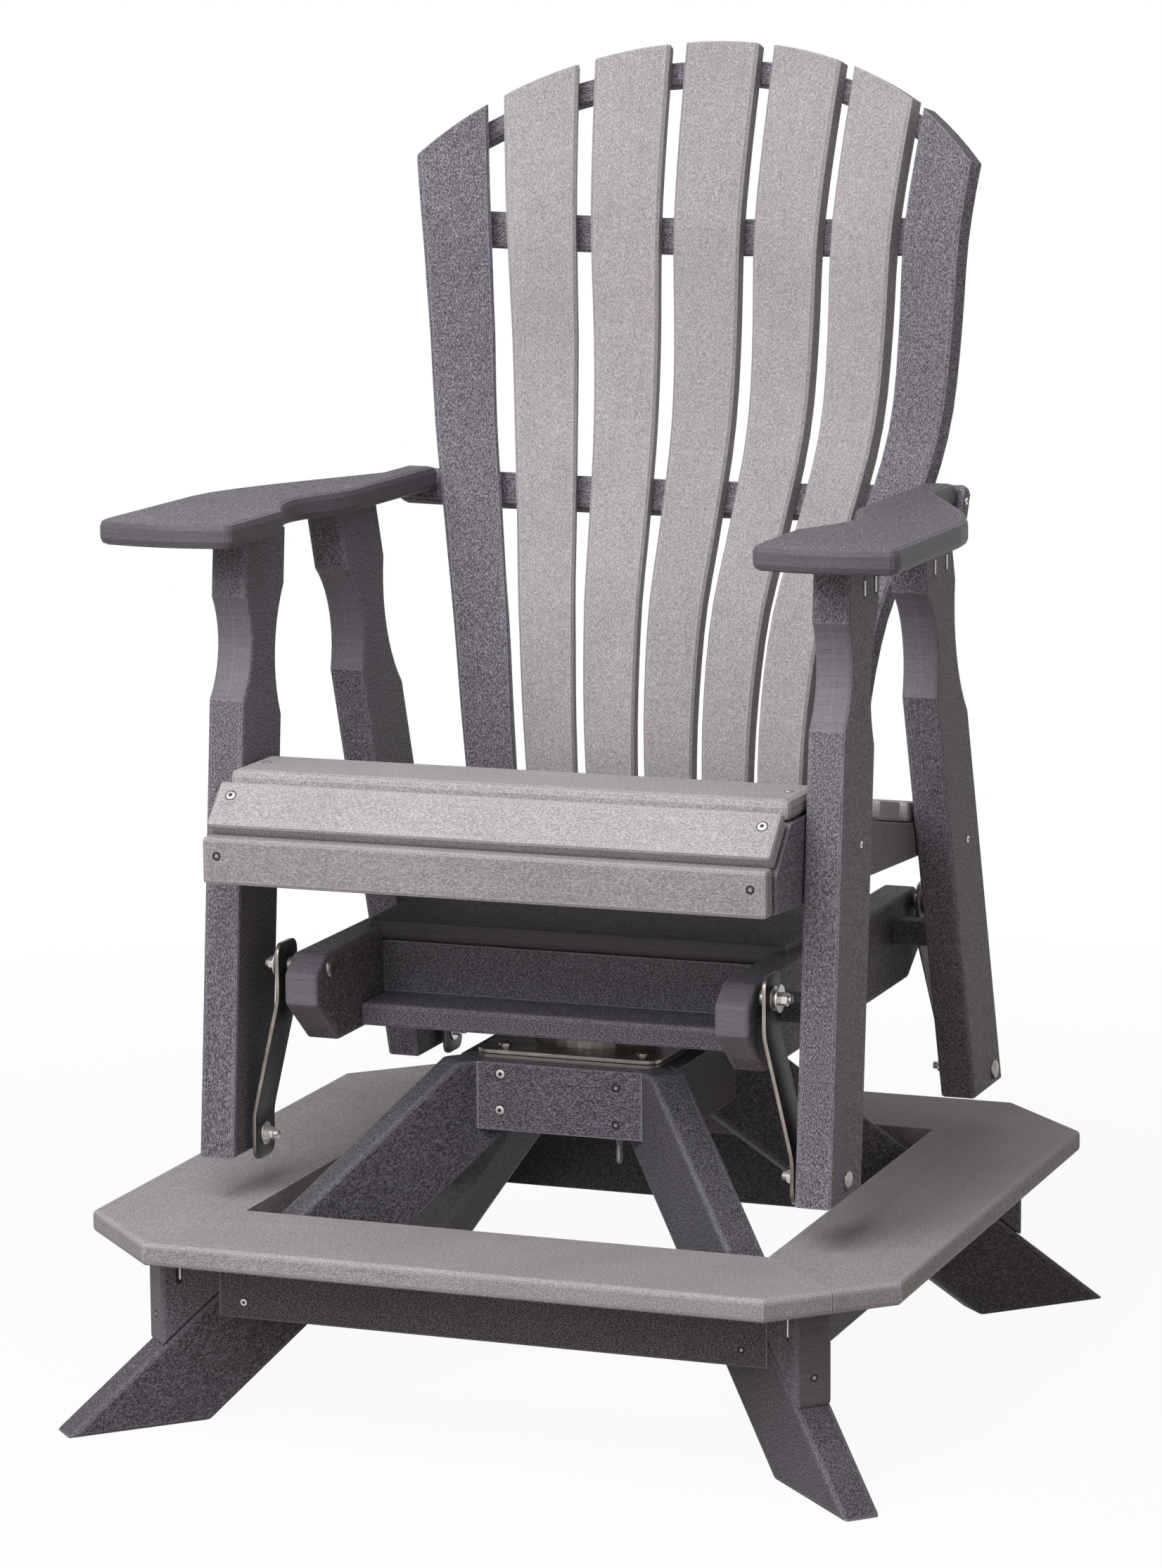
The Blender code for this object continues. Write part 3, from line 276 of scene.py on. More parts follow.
# Each noise: how fine, how detailed and how rough it is
SPECKLE = (1050, 3, 0.7)
TOOTH = (2400, 2, 0.6)
CLOUD = (11, 3, 0.55)
STREAK = (210, 2, 0.5)
CUT_LINES = (1100, 2, 0.6)
CUT_CLOUD = (420, 2, 0.5)
ZINC_CLOUD = (60, 3, 0.6)
ZINC_TOOTH = (900, 2, 0.6)
SCALE_CLOUD = (38, 4, 0.6)
SCALE_TOOTH = (1100, 2, 0.6)
RECESS_CLOUD = (700, 2, 0.5)
PAPER_CLOUD = (3, 2, 0.5)

# The range that most of a noise lies in
NOISE_LOW = 0.3
NOISE_HIGH = 0.7

# Where a noise takes the tones of a colour
SPECKLE_STOPS = (0.4, 0.5, 0.6)
PAIR_STOPS = (0.35, 0.65)
ZINC_STOPS = (0.35, 0.62)
SCALE_STOPS = (0.35, 0.6, 0.75)

# Bumps: strength, and height in metres
SPECKLE_BUMP = (0.35, 0.0005)
TOOTH_BUMP = (0.3, 0.00025)
ZINC_BUMP = (0.2, 0.0001)
SCALE_BUMP = (0.25, 0.0002)

# Between which parts of its normal a face passes from one kind to the other
SCOOP_FACING = (0.45, 0.8)
SIDE_FACING = (0.8, 0.97)
NOSE_FACING = (-0.45, -0.3)
END_FACING = (0.85, 0.97)
REAR_FACING = (-0.01, 0.01)
BROAD_FACING = (0.6, 0.9)

# Machined faces: their level lines and cloud, their tones, and the seam on a post in metres
LINE_STRETCH = (0.02, 0.02, 1)
CUT_LINES_SHARE = 0.55
CUT_CLOUD_SHARE = 0.45
CUT_DARK_SHARE = 0.8
CUT_PALE_SHARE = 1.25
SEAM_CORE = 0.0002
SEAM_FADE = 0.0007
SEAM_SHARE = 0.3

# Lumber: how long its grains and streaks are, and how much each shows
GRAIN_LONG = 2.2
STREAK_LONG = 45
CLOUD_DEPTH = 0.05
STREAK_DEPTH = 0.035
BRIGHTNESS_LOW = 0.96
BRIGHTNESS_HIGH = 1.04
ROUGH_DARK = 0.7
ROUGH_LIGHT = 0.58
SMOOTHER = 0.14
SMOOTH_BUMP_SHARE = 0.25
LUMBER_SHEEN = 0.2

# Painted highlight on edges: how far it reaches in metres, how sharp a turn it needs and how much it shows
EDGE_REACH = 0.0026
EDGE_SHARP = 0.965
EDGE_FLAT = 0.999
EDGE_SHARE = 0.72
EDGE_TONE_SHARE = 0.1
EDGE_SAMPLES = 4


def linear(red, green, blue):
    """A colour given as it looks on screen, 0 to 255, as linear RGBA."""
    tones = []
    for tone in (red, green, blue):
        share = tone / 255
        tones.append(share / 12.92 if share <= 0.04045 else ((share + 0.055) / 1.055) ** 2.4)
    return (*tones, 1.0)


def finish_tone(colour, share):
    """A colour made darker or paler."""
    return (*(tone * share for tone in colour[:3]), 1.0)


# Lumber tones from its dark grains to its light ones
CHARCOAL = (linear(66, 61, 66), linear(102, 98, 105), linear(158, 155, 166))
TAUPE = (linear(143, 137, 138), linear(168, 162, 164), linear(197, 193, 197))

# The straps' broad faces and cut edges, from their dark tones to their light ones
MILL_SCALE = (linear(38, 35, 36), linear(58, 53, 53), linear(78, 72, 70))
BARE_EDGE = (linear(124, 115, 109), linear(166, 156, 148))

# Roughness and metal of a strap's cut edges and of its broad faces
STRAP_ROUGHNESS = (0.38, 0.46)
STRAP_METALLIC = (0.8, 0.35)

# Painted shade for the bottoms of holes and drives
RECESS_SHADE = linear(34, 31, 32)
RECESS_DARK_SHARE = 0.6
RECESS_ROUGHNESS = 0.8

# How uneven a plated steel is
ZINC_DARK_SHARE = 0.72
ZINC_ROUGHER = 0.1
ZINC_SMOOTHER = 0.06

# Each plated steel's tone, roughness and how metallic it is
STEELS = {
    "zinc": ((0.8, 0.78, 0.75, 1.0), 0.3, 0.7),
    "spacer_zinc": ((0.5, 0.48, 0.46, 1.0), 0.36, 0.7),
    "head_zinc": ((0.33, 0.3, 0.28, 1.0), 0.26, 0.9),
    # A pale, barely metallic steel that paints the highlight on the shanks in pockets
    "painted_glint_zinc": ((0.92, 0.92, 0.94, 1.0), 0.2, 0.3),
    "black_bolt": ((0.16, 0.15, 0.15, 1.0), 0.3, 0.7),
}
SWIVEL_STEEL = ((0.34, 0.3, 0.28, 1.0), 0.34, 0.85)


class Finish:
    """A Principled material, built node by node."""

    def __init__(self, name):
        self.material = bpy.data.materials.new(name)
        self.material.use_nodes = True
        self.tree = self.material.node_tree
        self.shader = self.tree.nodes["Principled BSDF"]

    def node(self, kind, inputs=None, **settings):
        node = self.tree.nodes.new(kind)
        for name, value in settings.items():
            setattr(node, name, value)
        for name, value in (inputs or {}).items():
            self.set(node.inputs[name], value)
        return node

    def set(self, socket, value):
        if isinstance(value, bpy.types.NodeSocket):
            self.tree.links.new(value, socket)
        else:
            socket.default_value = value

    def place(self):
        return self.node("ShaderNodeTexCoord").outputs["Object"]

    def facing(self):
        return self.node("ShaderNodeTexCoord").outputs["Normal"]

    def parts(self, vector):
        return self.node("ShaderNodeSeparateXYZ", {0: vector}).outputs

    def noise(self, vector, scale, detail, roughness):
        inputs = {"Vector": vector, "Scale": scale, "Detail": detail, "Roughness": roughness}
        return self.node("ShaderNodeTexNoise", inputs).outputs["Fac"]

    def spread(self, value, low, high, to_low, to_high):
        """Map a value from one range to another, clamped."""
        inputs = {"Value": value, "From Min": low, "From Max": high, "To Min": to_low, "To Max": to_high}
        return self.node("ShaderNodeMapRange", inputs).outputs["Result"]

    def spread_noise(self, value, to_low, to_high):
        return self.spread(value, NOISE_LOW, NOISE_HIGH, to_low, to_high)

    def ramp(self, value, places, colours):
        ramp = self.node("ShaderNodeValToRGB", {"Fac": value})
        elements = ramp.color_ramp.elements
        while len(elements) < len(places):
            elements.new(0.5)
        for element, place, colour in zip(elements, places, colours):
            element.position = place
            element.color = colour
        return ramp.outputs["Color"]

    def mix(self, share, first, second, blend="MIX"):
        mix = self.node("ShaderNodeMix", data_type="RGBA", blend_type=blend)
        self.set(mix.inputs[0], share)
        self.set(mix.inputs[6], first)
        self.set(mix.inputs[7], second)
        return mix.outputs[2]

    def mix_shaders(self, share, first, second):
        return self.node("ShaderNodeMixShader", {0: share, 1: first, 2: second}).outputs[0]

    def calculate(self, operation, first, second):
        return self.node("ShaderNodeMath", {0: first, 1: second}, operation=operation).outputs[0]

    def absolute(self, value):
        return self.calculate("ABSOLUTE", value, 0.0)

    def dot(self, first, second):
        inputs = {0: first, 1: second}
        return self.node("ShaderNodeVectorMath", inputs, operation="DOT_PRODUCT").outputs["Value"]

    def edges(self):
        """1 where the surface turns a corner nearby, 0 on the flats."""
        bevel_node = self.node("ShaderNodeBevel", {"Radius": EDGE_REACH}, samples=EDGE_SAMPLES)
        flat = self.node("ShaderNodeNewGeometry").outputs["Normal"]
        turn = self.dot(bevel_node.outputs["Normal"], flat)
        return self.spread(turn, EDGE_FLAT, EDGE_SHARP, 0.0, 1.0)

    def bump(self, height, strength, distance, normal=None):
        inputs = {"Height": height, "Strength": strength, "Distance": distance}
        if normal is not None:
            inputs["Normal"] = normal
        return self.node("ShaderNodeBump", inputs).outputs["Normal"]

    def wear(self, **sockets):
        for name, value in sockets.items():
            self.set(self.shader.inputs[name.replace("_", " ")], value)
        return self.material


def board_direction(piece):
    """The direction in which a board is longest."""
    points = [vert.co for vert in piece.data.vertices]
    middle = sum(points, Vector()) / len(points)
    direction = FIRST_GUESS.normalized()
    for attempt in range(PULLS):
        pulled = Vector()
        for point in points:
            offset = point - middle
            pulled += offset * offset.dot(direction)
        direction = pulled.normalized()
    return direction


def scoop_mask(finish, post):
    """1 on the cut faces of a post's scoops."""
    place = finish.parts(finish.place())
    facing = finish.parts(finish.facing())
    cut = finish.spread(finish.absolute(facing["X"]), *SCOOP_FACING, 1.0, 0.0)
    masks = []
    for low, high in SCOOPS[post.split("_")[1]]:
        above = finish.spread(place["Z"], low * INCH, (low + SCOOP_FADE) * INCH, 0.0, 1.0)
        below = finish.spread(place["Z"], (high - SCOOP_FADE) * INCH, high * INCH, 1.0, 0.0)
        masks.append(finish.calculate("MULTIPLY", above, below))
    rear = finish.spread(facing["Y"], *REAR_FACING, 0.0, 1.0)
    front_share = finish.calculate("MULTIPLY", masks[0], finish.calculate("SUBTRACT", 1.0, rear))
    rear_share = finish.calculate("MULTIPLY", masks[1], rear)
    return finish.calculate("MULTIPLY", cut, finish.calculate("ADD", front_share, rear_share))


def side_mask(finish, arm):
    """1 on the routed outline of an arm."""
    facing = finish.parts(finish.facing())
    return finish.spread(finish.absolute(facing["Z"]), *SIDE_FACING, 1.0, 0.0)


def nose_mask(finish, board):
    """1 on the faces at a board's front end."""
    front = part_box(board)[0].y
    reach = NOSE_REACH * INCH
    place = finish.parts(finish.place())
    facing = finish.parts(finish.facing())
    near = finish.spread(place["Y"], front + reach, front + reach * NOSE_FADE_SHARE, 1.0, 0.0)
    ahead = finish.spread(facing["Y"], *NOSE_FACING, 1.0, 0.0)
    return finish.calculate("MULTIPLY", near, ahead)


def end_mask(finish, riser):
    """1 on a riser's outer end."""
    end, side = riser.split("_")[1:]
    outward = Vector((SIDES[side], ENDS[end], 0)).normalized()
    return finish.spread(finish.dot(finish.facing(), tuple(outward)), *END_FACING, 0.0, 1.0)


def cut_face(finish, colour, tones, mask, tone_share, seam_x):
    """The smooth face a cutter leaves: fine level lines and, on a post, a faint upright seam."""
    middle, light = tones[1:]
    place = finish.place()
    level = finish.node("ShaderNodeMapping", {"Vector": place, "Scale": LINE_STRETCH}).outputs["Vector"]
    lines = finish.calculate("MULTIPLY", finish.noise(level, *CUT_LINES), CUT_LINES_SHARE)
    cloud = finish.calculate("MULTIPLY", finish.noise(place, *CUT_CLOUD), CUT_CLOUD_SHARE)
    # The tone share sets the cut face's tone; where above 1 it is partly a painted sheen
    darker = finish_tone(middle, CUT_DARK_SHARE * tone_share)
    paler = finish_tone(middle, CUT_PALE_SHARE * tone_share)
    face = finish.ramp(finish.calculate("ADD", lines, cloud), PAIR_STOPS, (darker, paler))
    if seam_x:
        across = finish.absolute(finish.parts(place)["X"])
        offset = finish.absolute(finish.calculate("SUBTRACT", across, seam_x * INCH))
        seam = finish.spread(offset, SEAM_CORE, SEAM_FADE, SEAM_SHARE, 0.0)
        face = finish.mix(seam, face, light)
    return finish.mix(mask, colour, face)


# For each kind of board with machined faces: where they are, their tone and a seam's place; a tone above 1
# is partly the smooth cut and partly a painted sheen
MACHINED = {
    "post_": (scoop_mask, 1.45, POST_MIDDLE),
    "arm_": (side_mask, 0.8, None),
    "glide_rail_": (nose_mask, 1.35, None),
    "carriage_top_board": (nose_mask, 0.8, None),
    "riser_": (end_mask, 1.1, None),
}

# Boards painted darker or paler than their colour's own tone, as painted shade and painted light for how the
# light falls on them
BOARD_LIGHT_SHARES = {
    "leg_": 0.7,
    "arm_": 0.93,
    "post_": 1.03,
    "carriage_top_board": 0.75,
    "hub_board_": 0.9,
    "apron_": 0.84,
    "footrest_": 0.9,
    "seat_slanted_slat": 1.08,
    "seat_lower_slat": 0.77,
    "seat_slat_": 0.98,
    "back_slat_1": 1.1,
    "back_slat_7": 1.1,
}


def pick(table, name, otherwise):
    """The entry of a table whose key begins the name."""
    for start, entry in table.items():
        if name.startswith(start):
            return entry
    return otherwise


def lumber(node, tones, direction, start, brightness):
    """Poly lumber: fine elongated grains, faint cloud and streaks, smoother machined edges with a painted
    highlight.
    """
    finish = Finish(node + "_lumber")
    middle, light = tones[1:]
    place = finish.place()
    turn = direction.to_track_quat("X", "Z").to_euler()

    def stretched(long):
        inputs = {"Vector": place, "Rotation": turn, "Location": start, "Scale": (long, 1, 1)}
        return finish.node("ShaderNodeMapping", inputs, vector_type="TEXTURE").outputs["Vector"]

    grains = stretched(GRAIN_LONG)
    speckle = finish.noise(grains, *SPECKLE)
    tooth = finish.noise(grains, *TOOTH)
    cloud = finish.noise(place, *CLOUD)
    streak = finish.noise(stretched(STREAK_LONG), *STREAK)
    colour = finish.ramp(speckle, SPECKLE_STOPS, tones)
    shade = finish.calculate("ADD", finish.spread_noise(cloud, -CLOUD_DEPTH, CLOUD_DEPTH), brightness)
    shade = finish.calculate("ADD", shade, finish.spread_noise(streak, -STREAK_DEPTH, STREAK_DEPTH))
    colour = finish.mix(1.0, colour, shade, "MULTIPLY")
    edge = finish.edges()
    # Edges are painted towards the light tone, a painted highlight
    edge_highlight = finish.mix(EDGE_TONE_SHARE, light, middle)
    colour = finish.mix(finish.calculate("MULTIPLY", edge, EDGE_SHARE), colour, edge_highlight)
    roughness = finish.spread_noise(speckle, ROUGH_DARK, ROUGH_LIGHT)
    smooth = edge
    machined = pick(MACHINED, node, None)
    if machined:
        find_mask, tone_share, seam_x = machined
        mask = find_mask(finish, node)
        colour = cut_face(finish, colour, tones, mask, tone_share, seam_x)
        smooth = finish.calculate("MAXIMUM", edge, mask)
    roughness = finish.calculate("SUBTRACT", roughness, finish.calculate("MULTIPLY", smooth, SMOOTHER))
    rough = finish.spread(smooth, 0.0, 1.0, 1.0, SMOOTH_BUMP_SHARE)
    coarse = finish.bump(finish.calculate("MULTIPLY", speckle, rough), *SPECKLE_BUMP)
    normal = finish.bump(finish.calculate("MULTIPLY", tooth, rough), *TOOTH_BUMP, coarse)
    return finish.wear(
        Base_Color=colour,
        Roughness=roughness,
        Normal=normal,
        Specular_IOR_Level=LUMBER_SHEEN,
    )


def plated_steel(name, tone, roughness, metallic):
    """Zinc-plated steel with a fine uneven sheen."""
    finish = Finish(name)
    place = finish.place()
    cloud = finish.noise(place, *ZINC_CLOUD)
    tooth = finish.noise(place, *ZINC_TOOTH)
    return finish.wear(
        Metallic=metallic,
        Base_Color=finish.ramp(cloud, ZINC_STOPS, (finish_tone(tone, ZINC_DARK_SHARE), tone)),
        Roughness=finish.spread_noise(cloud, roughness + ZINC_ROUGHER, roughness - ZINC_SMOOTHER),
        Normal=finish.bump(tooth, *ZINC_BUMP),
    )


def strap_steel(name):
    """Dark mill scale on the strap's broad faces, bare steel on its cut edges."""
    finish = Finish(name)
    place = finish.place()
    cloud = finish.noise(place, *SCALE_CLOUD)
    tooth = finish.noise(place, *SCALE_TOOTH)
    sideways = finish.absolute(finish.parts(finish.facing())["X"])
    broad = finish.spread(sideways, *BROAD_FACING, 0.0, 1.0)
    scale = finish.ramp(cloud, SCALE_STOPS, MILL_SCALE)
    bare = finish.ramp(cloud, PAIR_STOPS, BARE_EDGE)
    return finish.wear(
        Base_Color=finish.mix(broad, bare, scale),
        Roughness=finish.spread(broad, 0.0, 1.0, *STRAP_ROUGHNESS),
        Metallic=finish.spread(broad, 0.0, 1.0, *STRAP_METALLIC),
        Normal=finish.bump(tooth, *SCALE_BUMP),
    )


def shade_of(name, colour):
    """A deep matt tone, painted shade, for the bottoms of holes and drive recesses."""
    finish = Finish(name)
    cloud = finish.noise(finish.place(), *RECESS_CLOUD)
    tone = finish.ramp(cloud, PAIR_STOPS, (finish_tone(colour, RECESS_DARK_SHARE), colour))
    return finish.wear(Base_Color=tone, Roughness=RECESS_ROUGHNESS)


def dress_frame():
    """Give every CAD node but the links its own lumber or steel."""
    order = random.Random(BOARD_SEED)
    for name, node in sorted(frame["nodes"].items()):
        start = tuple(order.uniform(-1, 1) for axis in range(3))
        if name.startswith("link_"):
            continue
        if name in STEEL_NODES:
            material = plated_steel(name + "_steel", *SWIVEL_STEEL)
        else:
            direction = GRAIN_DIRECTIONS.get(name) or board_direction(node)
            tones = TAUPE if name in TAUPE_NODES else CHARCOAL
            # A random tone of the board, times its painted shade or painted light
            brightness = order.uniform(BRIGHTNESS_LOW, BRIGHTNESS_HIGH) * pick(BOARD_LIGHT_SHARES, name, 1.0)
            material = lumber(name, tones, direction, start, brightness)
        for slot in node.material_slots:
            slot.material = material
        if not node.material_slots:
            node.data.materials.append(material)


# Hardware shapes


def new_piece(name, shape, materials, body):
    """Turn a shape given in inches into a piece that rides on a body."""
    bmesh.ops.scale(shape, verts=shape.verts, vec=(INCH, INCH, INCH))
    bmesh.ops.recalc_face_normals(shape, faces=shape.faces)
    mesh = bpy.data.meshes.new(name)
    shape.to_mesh(mesh)
    shape.free()
    for material in materials:
        mesh.materials.append(material)
    mesh.shade_smooth()
    mesh.set_sharp_from_angle(angle=CRISP_TURN)
    piece = bpy.data.objects.new(name, mesh)
    bpy.context.scene.collection.objects.link(piece)
    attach(piece, body)
    return piece


def skin(rings, dark_from=None):
    """Join closed rings into one skin with capped ends; faces past dark_from take material 1."""
    shape = bmesh.new()
    loops = [[shape.verts.new(point) for point in ring] for ring in rings]
    count = len(loops[0])
    for level, (lower, upper) in enumerate(zip(loops, loops[1:])):
        for here in range(count):
            after = (here + 1) % count
            face = shape.faces.new((lower[here], lower[after], upper[after], upper[here]))
            if dark_from is not None and level >= dark_from:
                face.material_index = 1
    shape.faces.new(reversed(loops[0]))
    cap = shape.faces.new(loops[-1])
    if dark_from is not None:
        cap.material_index = 1
    return shape


def ring_of(radius, height):
    """A ring about Z; the radius may depend on the angle."""
    points = []
    for step in range(RING_STEPS):
        angle = math.tau * step / RING_STEPS
        reach = radius(angle) if callable(radius) else radius
        points.append((reach * math.cos(angle), reach * math.sin(angle), height))
    return points


def turn_to(shape, place, outward):
    """Carry a shape made about +Z to a place, with +Z along outward."""
    turn = Vector(outward).to_track_quat("Z", "Y").to_matrix().to_4x4()
    bmesh.ops.transform(shape, verts=shape.verts, matrix=Matrix.Translation(place) @ turn)
    return shape


def six_lobes(size):
    return lambda angle: size * (1 + LOBE_SHARE * math.cos(LOBES * angle))


def screw_head(radius):
    """A flush head, a little crowned, with a six-lobed drive whose recess is painted shade."""
    rings = [ring_of(radius, -SCREW_SINK), ring_of(radius, SCREW_RIM)]
    rings += [ring_of(radius * reach, SCREW_CROWN * height) for reach, height in CROWN_SHARES]
    drive = len(rings)
    rings += [ring_of(six_lobes(radius * reach), SCREW_CROWN * height) for reach, height in DRIVE_SHARES]
    return skin(rings, dark_from=drive)


def hex_outline(across, height, corner_share):
    """A ring with six flats, whose corners reach no farther than a share of the half width."""
    half = across / 2

    def reach(angle):
        sector = (angle + NUT_FLAT / 2) % NUT_FLAT - NUT_FLAT / 2
        return min(half / math.cos(sector), half * corner_share)

    return ring_of(reach, height)


def nut_and_tail(across, thick, tail, shank):
    """A hex nut on the threaded end of a bolt."""
    rings = [hex_outline(across, thick * height, reach) for height, reach in NUT_RING_SHARES]
    rings += [ring_of(shank * BORE_MOUTH_SHARE, thick), ring_of(shank * BORE_SHARE, thick - BORE_DEEP)]
    pitch = tail / THREAD_TURNS
    for turn in range(THREAD_TURNS):
        root = thick + pitch * turn
        rings += [ring_of(shank * THREAD_ROOT_SHARE, root), ring_of(shank, root + pitch / 2)]
    rings += [ring_of(shank * THREAD_END_SHARE, thick + tail)]
    return skin(rings)


def washer(radius, thick, hole):
    """A flat ring with eased rims."""
    ease = thick * WASHER_EASE_SHARE
    profile = ((hole, 0), (radius - ease, 0), (radius, ease))
    profile += ((radius, thick - ease), (radius - ease, thick), (hole, thick))
    return skin([ring_of(reach, height) for reach, height in profile])


def dome_head(radius, height):
    """A carriage bolt's round head."""
    rings = [ring_of(radius, 0), ring_of(radius, height * DOME_RIM_SHARE)]
    for step in range(1, DOME_STEPS):
        angle = math.radians(90) * step / DOME_STEPS
        rise = height * (DOME_RIM_SHARE + (1 - DOME_RIM_SHARE) * math.sin(angle))
        rings.append(ring_of(radius * math.cos(angle), rise))
    rings.append(ring_of(radius * DOME_TIP_SHARE, height))
    return skin(rings)


def rod(radius, length):
    return skin([ring_of(radius, 0), ring_of(radius, length)])


def stadium(width, height):
    """A flat rounded slot, its long side along Y, a hair proud of the surface."""
    radius = width / 2
    points = []
    for end, start in ((1, 0), (-1, math.pi)):
        middle = end * (height - width) / 2
        for step in range(STADIUM_STEPS + 1):
            angle = start + math.pi * step / STADIUM_STEPS
            points.append((radius * math.cos(angle), middle + radius * math.sin(angle)))
    return skin([[(x, y, z) for x, y in points] for z in (-POCKET_PROUD, POCKET_PROUD)])


def strap_shape(y):
    """A joggled steel strap with rounded tips and eased edges."""
    half = STRAP_THICK / 2
    path = [
        (STRAP_UPPER_X, PIVOT_HIGH + STRAP_TIP),
        (STRAP_UPPER_X, PIVOT_HIGH - STRAP_STRAIGHT_HIGH),
        (STRAP_LOWER_X, PIVOT_LOW + STRAP_STRAIGHT_LOW),
        (STRAP_LOWER_X, PIVOT_LOW - STRAP_TIP),
    ]
    path = ease_bends(path)
    outline = [(x - half, z) for x, z in path] + [(x + half, z) for x, z in reversed(path)]
    shape = bmesh.new()
    ends = []
    for edge_y in (y - STRAP_WIDTH / 2, y + STRAP_WIDTH / 2):
        ends.append([shape.verts.new((x, edge_y, z)) for x, z in outline])
    first, last = ends
    shape.faces.new(first)
    shape.faces.new(reversed(last))
    for here in range(len(outline)):
        after = (here + 1) % len(outline)
        shape.faces.new((first[here], first[after], last[after], last[here]))
    bmesh.ops.recalc_face_normals(shape, faces=shape.faces)
    tips = []
    for edge in shape.edges:
        start, end = edge.verts[0].co, edge.verts[1].co
        if start.y == end.y and start.z == end.z and abs(start.x - end.x) > half:
            tips.append(edge)
    bevel(shape, tips, STRAP_TIP_ROUND, STRAP_TIP_STEPS)
    sharp = [edge for edge in shape.edges if edge.calc_face_angle(0) > EASED_TURN]
    bevel(shape, sharp, STRAP_EASE, STRAP_EASE_STEPS)
    return shape


def ease_bends(path):
    """Replace the two bends of a path by short curves."""
    eased = [path[0]]
    for before, bend, after in zip(path, path[1:], path[2:]):
        corner = Vector(bend)
        start = corner + (Vector(before) - corner).normalized() * BEND_REACH
        end = corner + (Vector(after) - corner).normalized() * BEND_REACH
        for step in range(BEND_STEPS + 1):
            t = step / BEND_STEPS
            point = start * (1 - t) ** 2 + corner * 2 * t * (1 - t) + end * t ** 2
            eased.append((point.x, point.y))
    eased.append(path[-1])
    return eased


def bevel(shape, edges, width, segments):
    bmesh.ops.bevel(
        shape, geom=edges, offset=width, offset_type="OFFSET", segments=segments,
        profile=0.5, affect="EDGES", clamp_overlap=True,
    )


def mirror(shape, side):
    if side < 0:
        bmesh.ops.scale(shape, verts=shape.verts, vec=(-1, 1, 1))
        bmesh.ops.reverse_faces(shape, faces=shape.faces)
    return shape


# Straps with their bolts


class StrapHardware:
    """What is threaded on one strap's two bolts."""

    def __init__(self, end, word, steels):
        self.name = end + "_" + word
        self.side = SIDES[word]
        self.y = PIVOTS[end]
        self.steels = steels

    def fit(self, row, kind, shape, x, outward, steel):
        """Thread a shape on the upper or the lower bolt, its foot at x and its top outward."""
        turn_to(shape, (x, self.y, PIVOT_HEIGHTS[row]), (outward, 0, 0))
        mirror(shape, self.side)
        name = row + "_" + kind + "_" + self.name
        new_piece(name, shape, [self.steels[steel]], "link_" + self.name)

    def upper_bolt(self):
        """From the head inside the glide rail to the nut outside the strap."""
        outer = STRAP_UPPER_X + STRAP_THICK / 2
        shape = washer(WASHER_RADIUS, WASHER_THICK, WASHER_HOLE)
        self.fit("upper", "washer", shape, outer + STEEL_CLEAR, 1, "zinc")
        shape = washer(SLEEVE_RADIUS, SLEEVE_LONG, WASHER_HOLE)
        self.fit("upper", "sleeve", shape, outer + WASHER_THICK, 1, "spacer_zinc")
        seat = outer + WASHER_THICK + SLEEVE_LONG
        shape = washer(UPPER_PLATE_RADIUS, WASHER_THICK, WASHER_HOLE)
        self.fit("upper", "plate", shape, seat, 1, "zinc")
        shape = nut_and_tail(NUT_ACROSS, NUT_THICK, UPPER_TAIL, BOLT_RADIUS)
        self.fit("upper", "nut", shape, seat + WASHER_THICK, 1, "zinc")
        gap = STRAP_UPPER_X - STRAP_THICK / 2 - RAIL_OUTER
        shape = washer(SPACER_RADIUS, gap - WOOD_CLEAR, SPACER_HOLE)
        self.fit("upper", "spacer", shape, RAIL_OUTER + WOOD_CLEAR, 1, "spacer_zinc")
        shape = dome_head(HEAD_RADIUS, HEAD_HIGH)
        self.fit("upper", "head", shape, RAIL_INNER - WOOD_CLEAR, -1, "head_zinc")

    def lower_bolt(self):
        """From the nut inside the strap to the head outside the post."""
        inner = STRAP_LOWER_X - STRAP_THICK / 2
        shape = washer(LOWER_PLATE_RADIUS, WASHER_THICK, WASHER_HOLE)
        self.fit("lower", "plate", shape, inner - STEEL_CLEAR, -1, "zinc")
        shape = nut_and_tail(NUT_ACROSS, NUT_THICK, LOWER_TAIL, BOLT_RADIUS)
        self.fit("lower", "nut", shape, inner - WASHER_THICK, -1, "zinc")
        outer = STRAP_LOWER_X + STRAP_THICK / 2
        shape = washer(WASHER_RADIUS, WASHER_THICK, WASHER_HOLE)
        self.fit("lower", "washer", shape, outer + STEEL_CLEAR, 1, "zinc")
        gap = POST_INNER - WOOD_CLEAR - outer - WASHER_THICK
        shape = washer(SPACER_RADIUS, gap, SPACER_HOLE)
        self.fit("lower", "spacer", shape, outer + WASHER_THICK, 1, "spacer_zinc")
        shape = dome_head(HEAD_RADIUS, HEAD_HIGH)
        self.fit("lower", "head", shape, POST_OUTER + WOOD_CLEAR, 1, "head_zinc")


def make_links(scale, steels):
    """Straps, bolts, washers and nuts in place of the plain links."""
    for word, side in SIDES.items():
        for end, y in PIVOTS.items():
            name = end + "_" + word
            body = "link_" + name
            strap = new_piece("strap_" + name, mirror(strap_shape(y), side), [scale], body)
            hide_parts(body)
            hardware = StrapHardware(end, word, steels)
            hardware.upper_bolt()
            hardware.lower_bolt()


# Screws


def touch(node, start, direction):
    """Where a ray that starts outside a CAD node meets it, in inches, and the surface's normal there."""
    towards = Vector(direction).normalized()
    hit, place, normal, face = frame["nodes"][node].ray_cast(Vector(start) * INCH, towards)
    if not hit:
        raise ValueError("no surface of " + node + " at " + str(tuple(start)))
    return place / INCH, normal


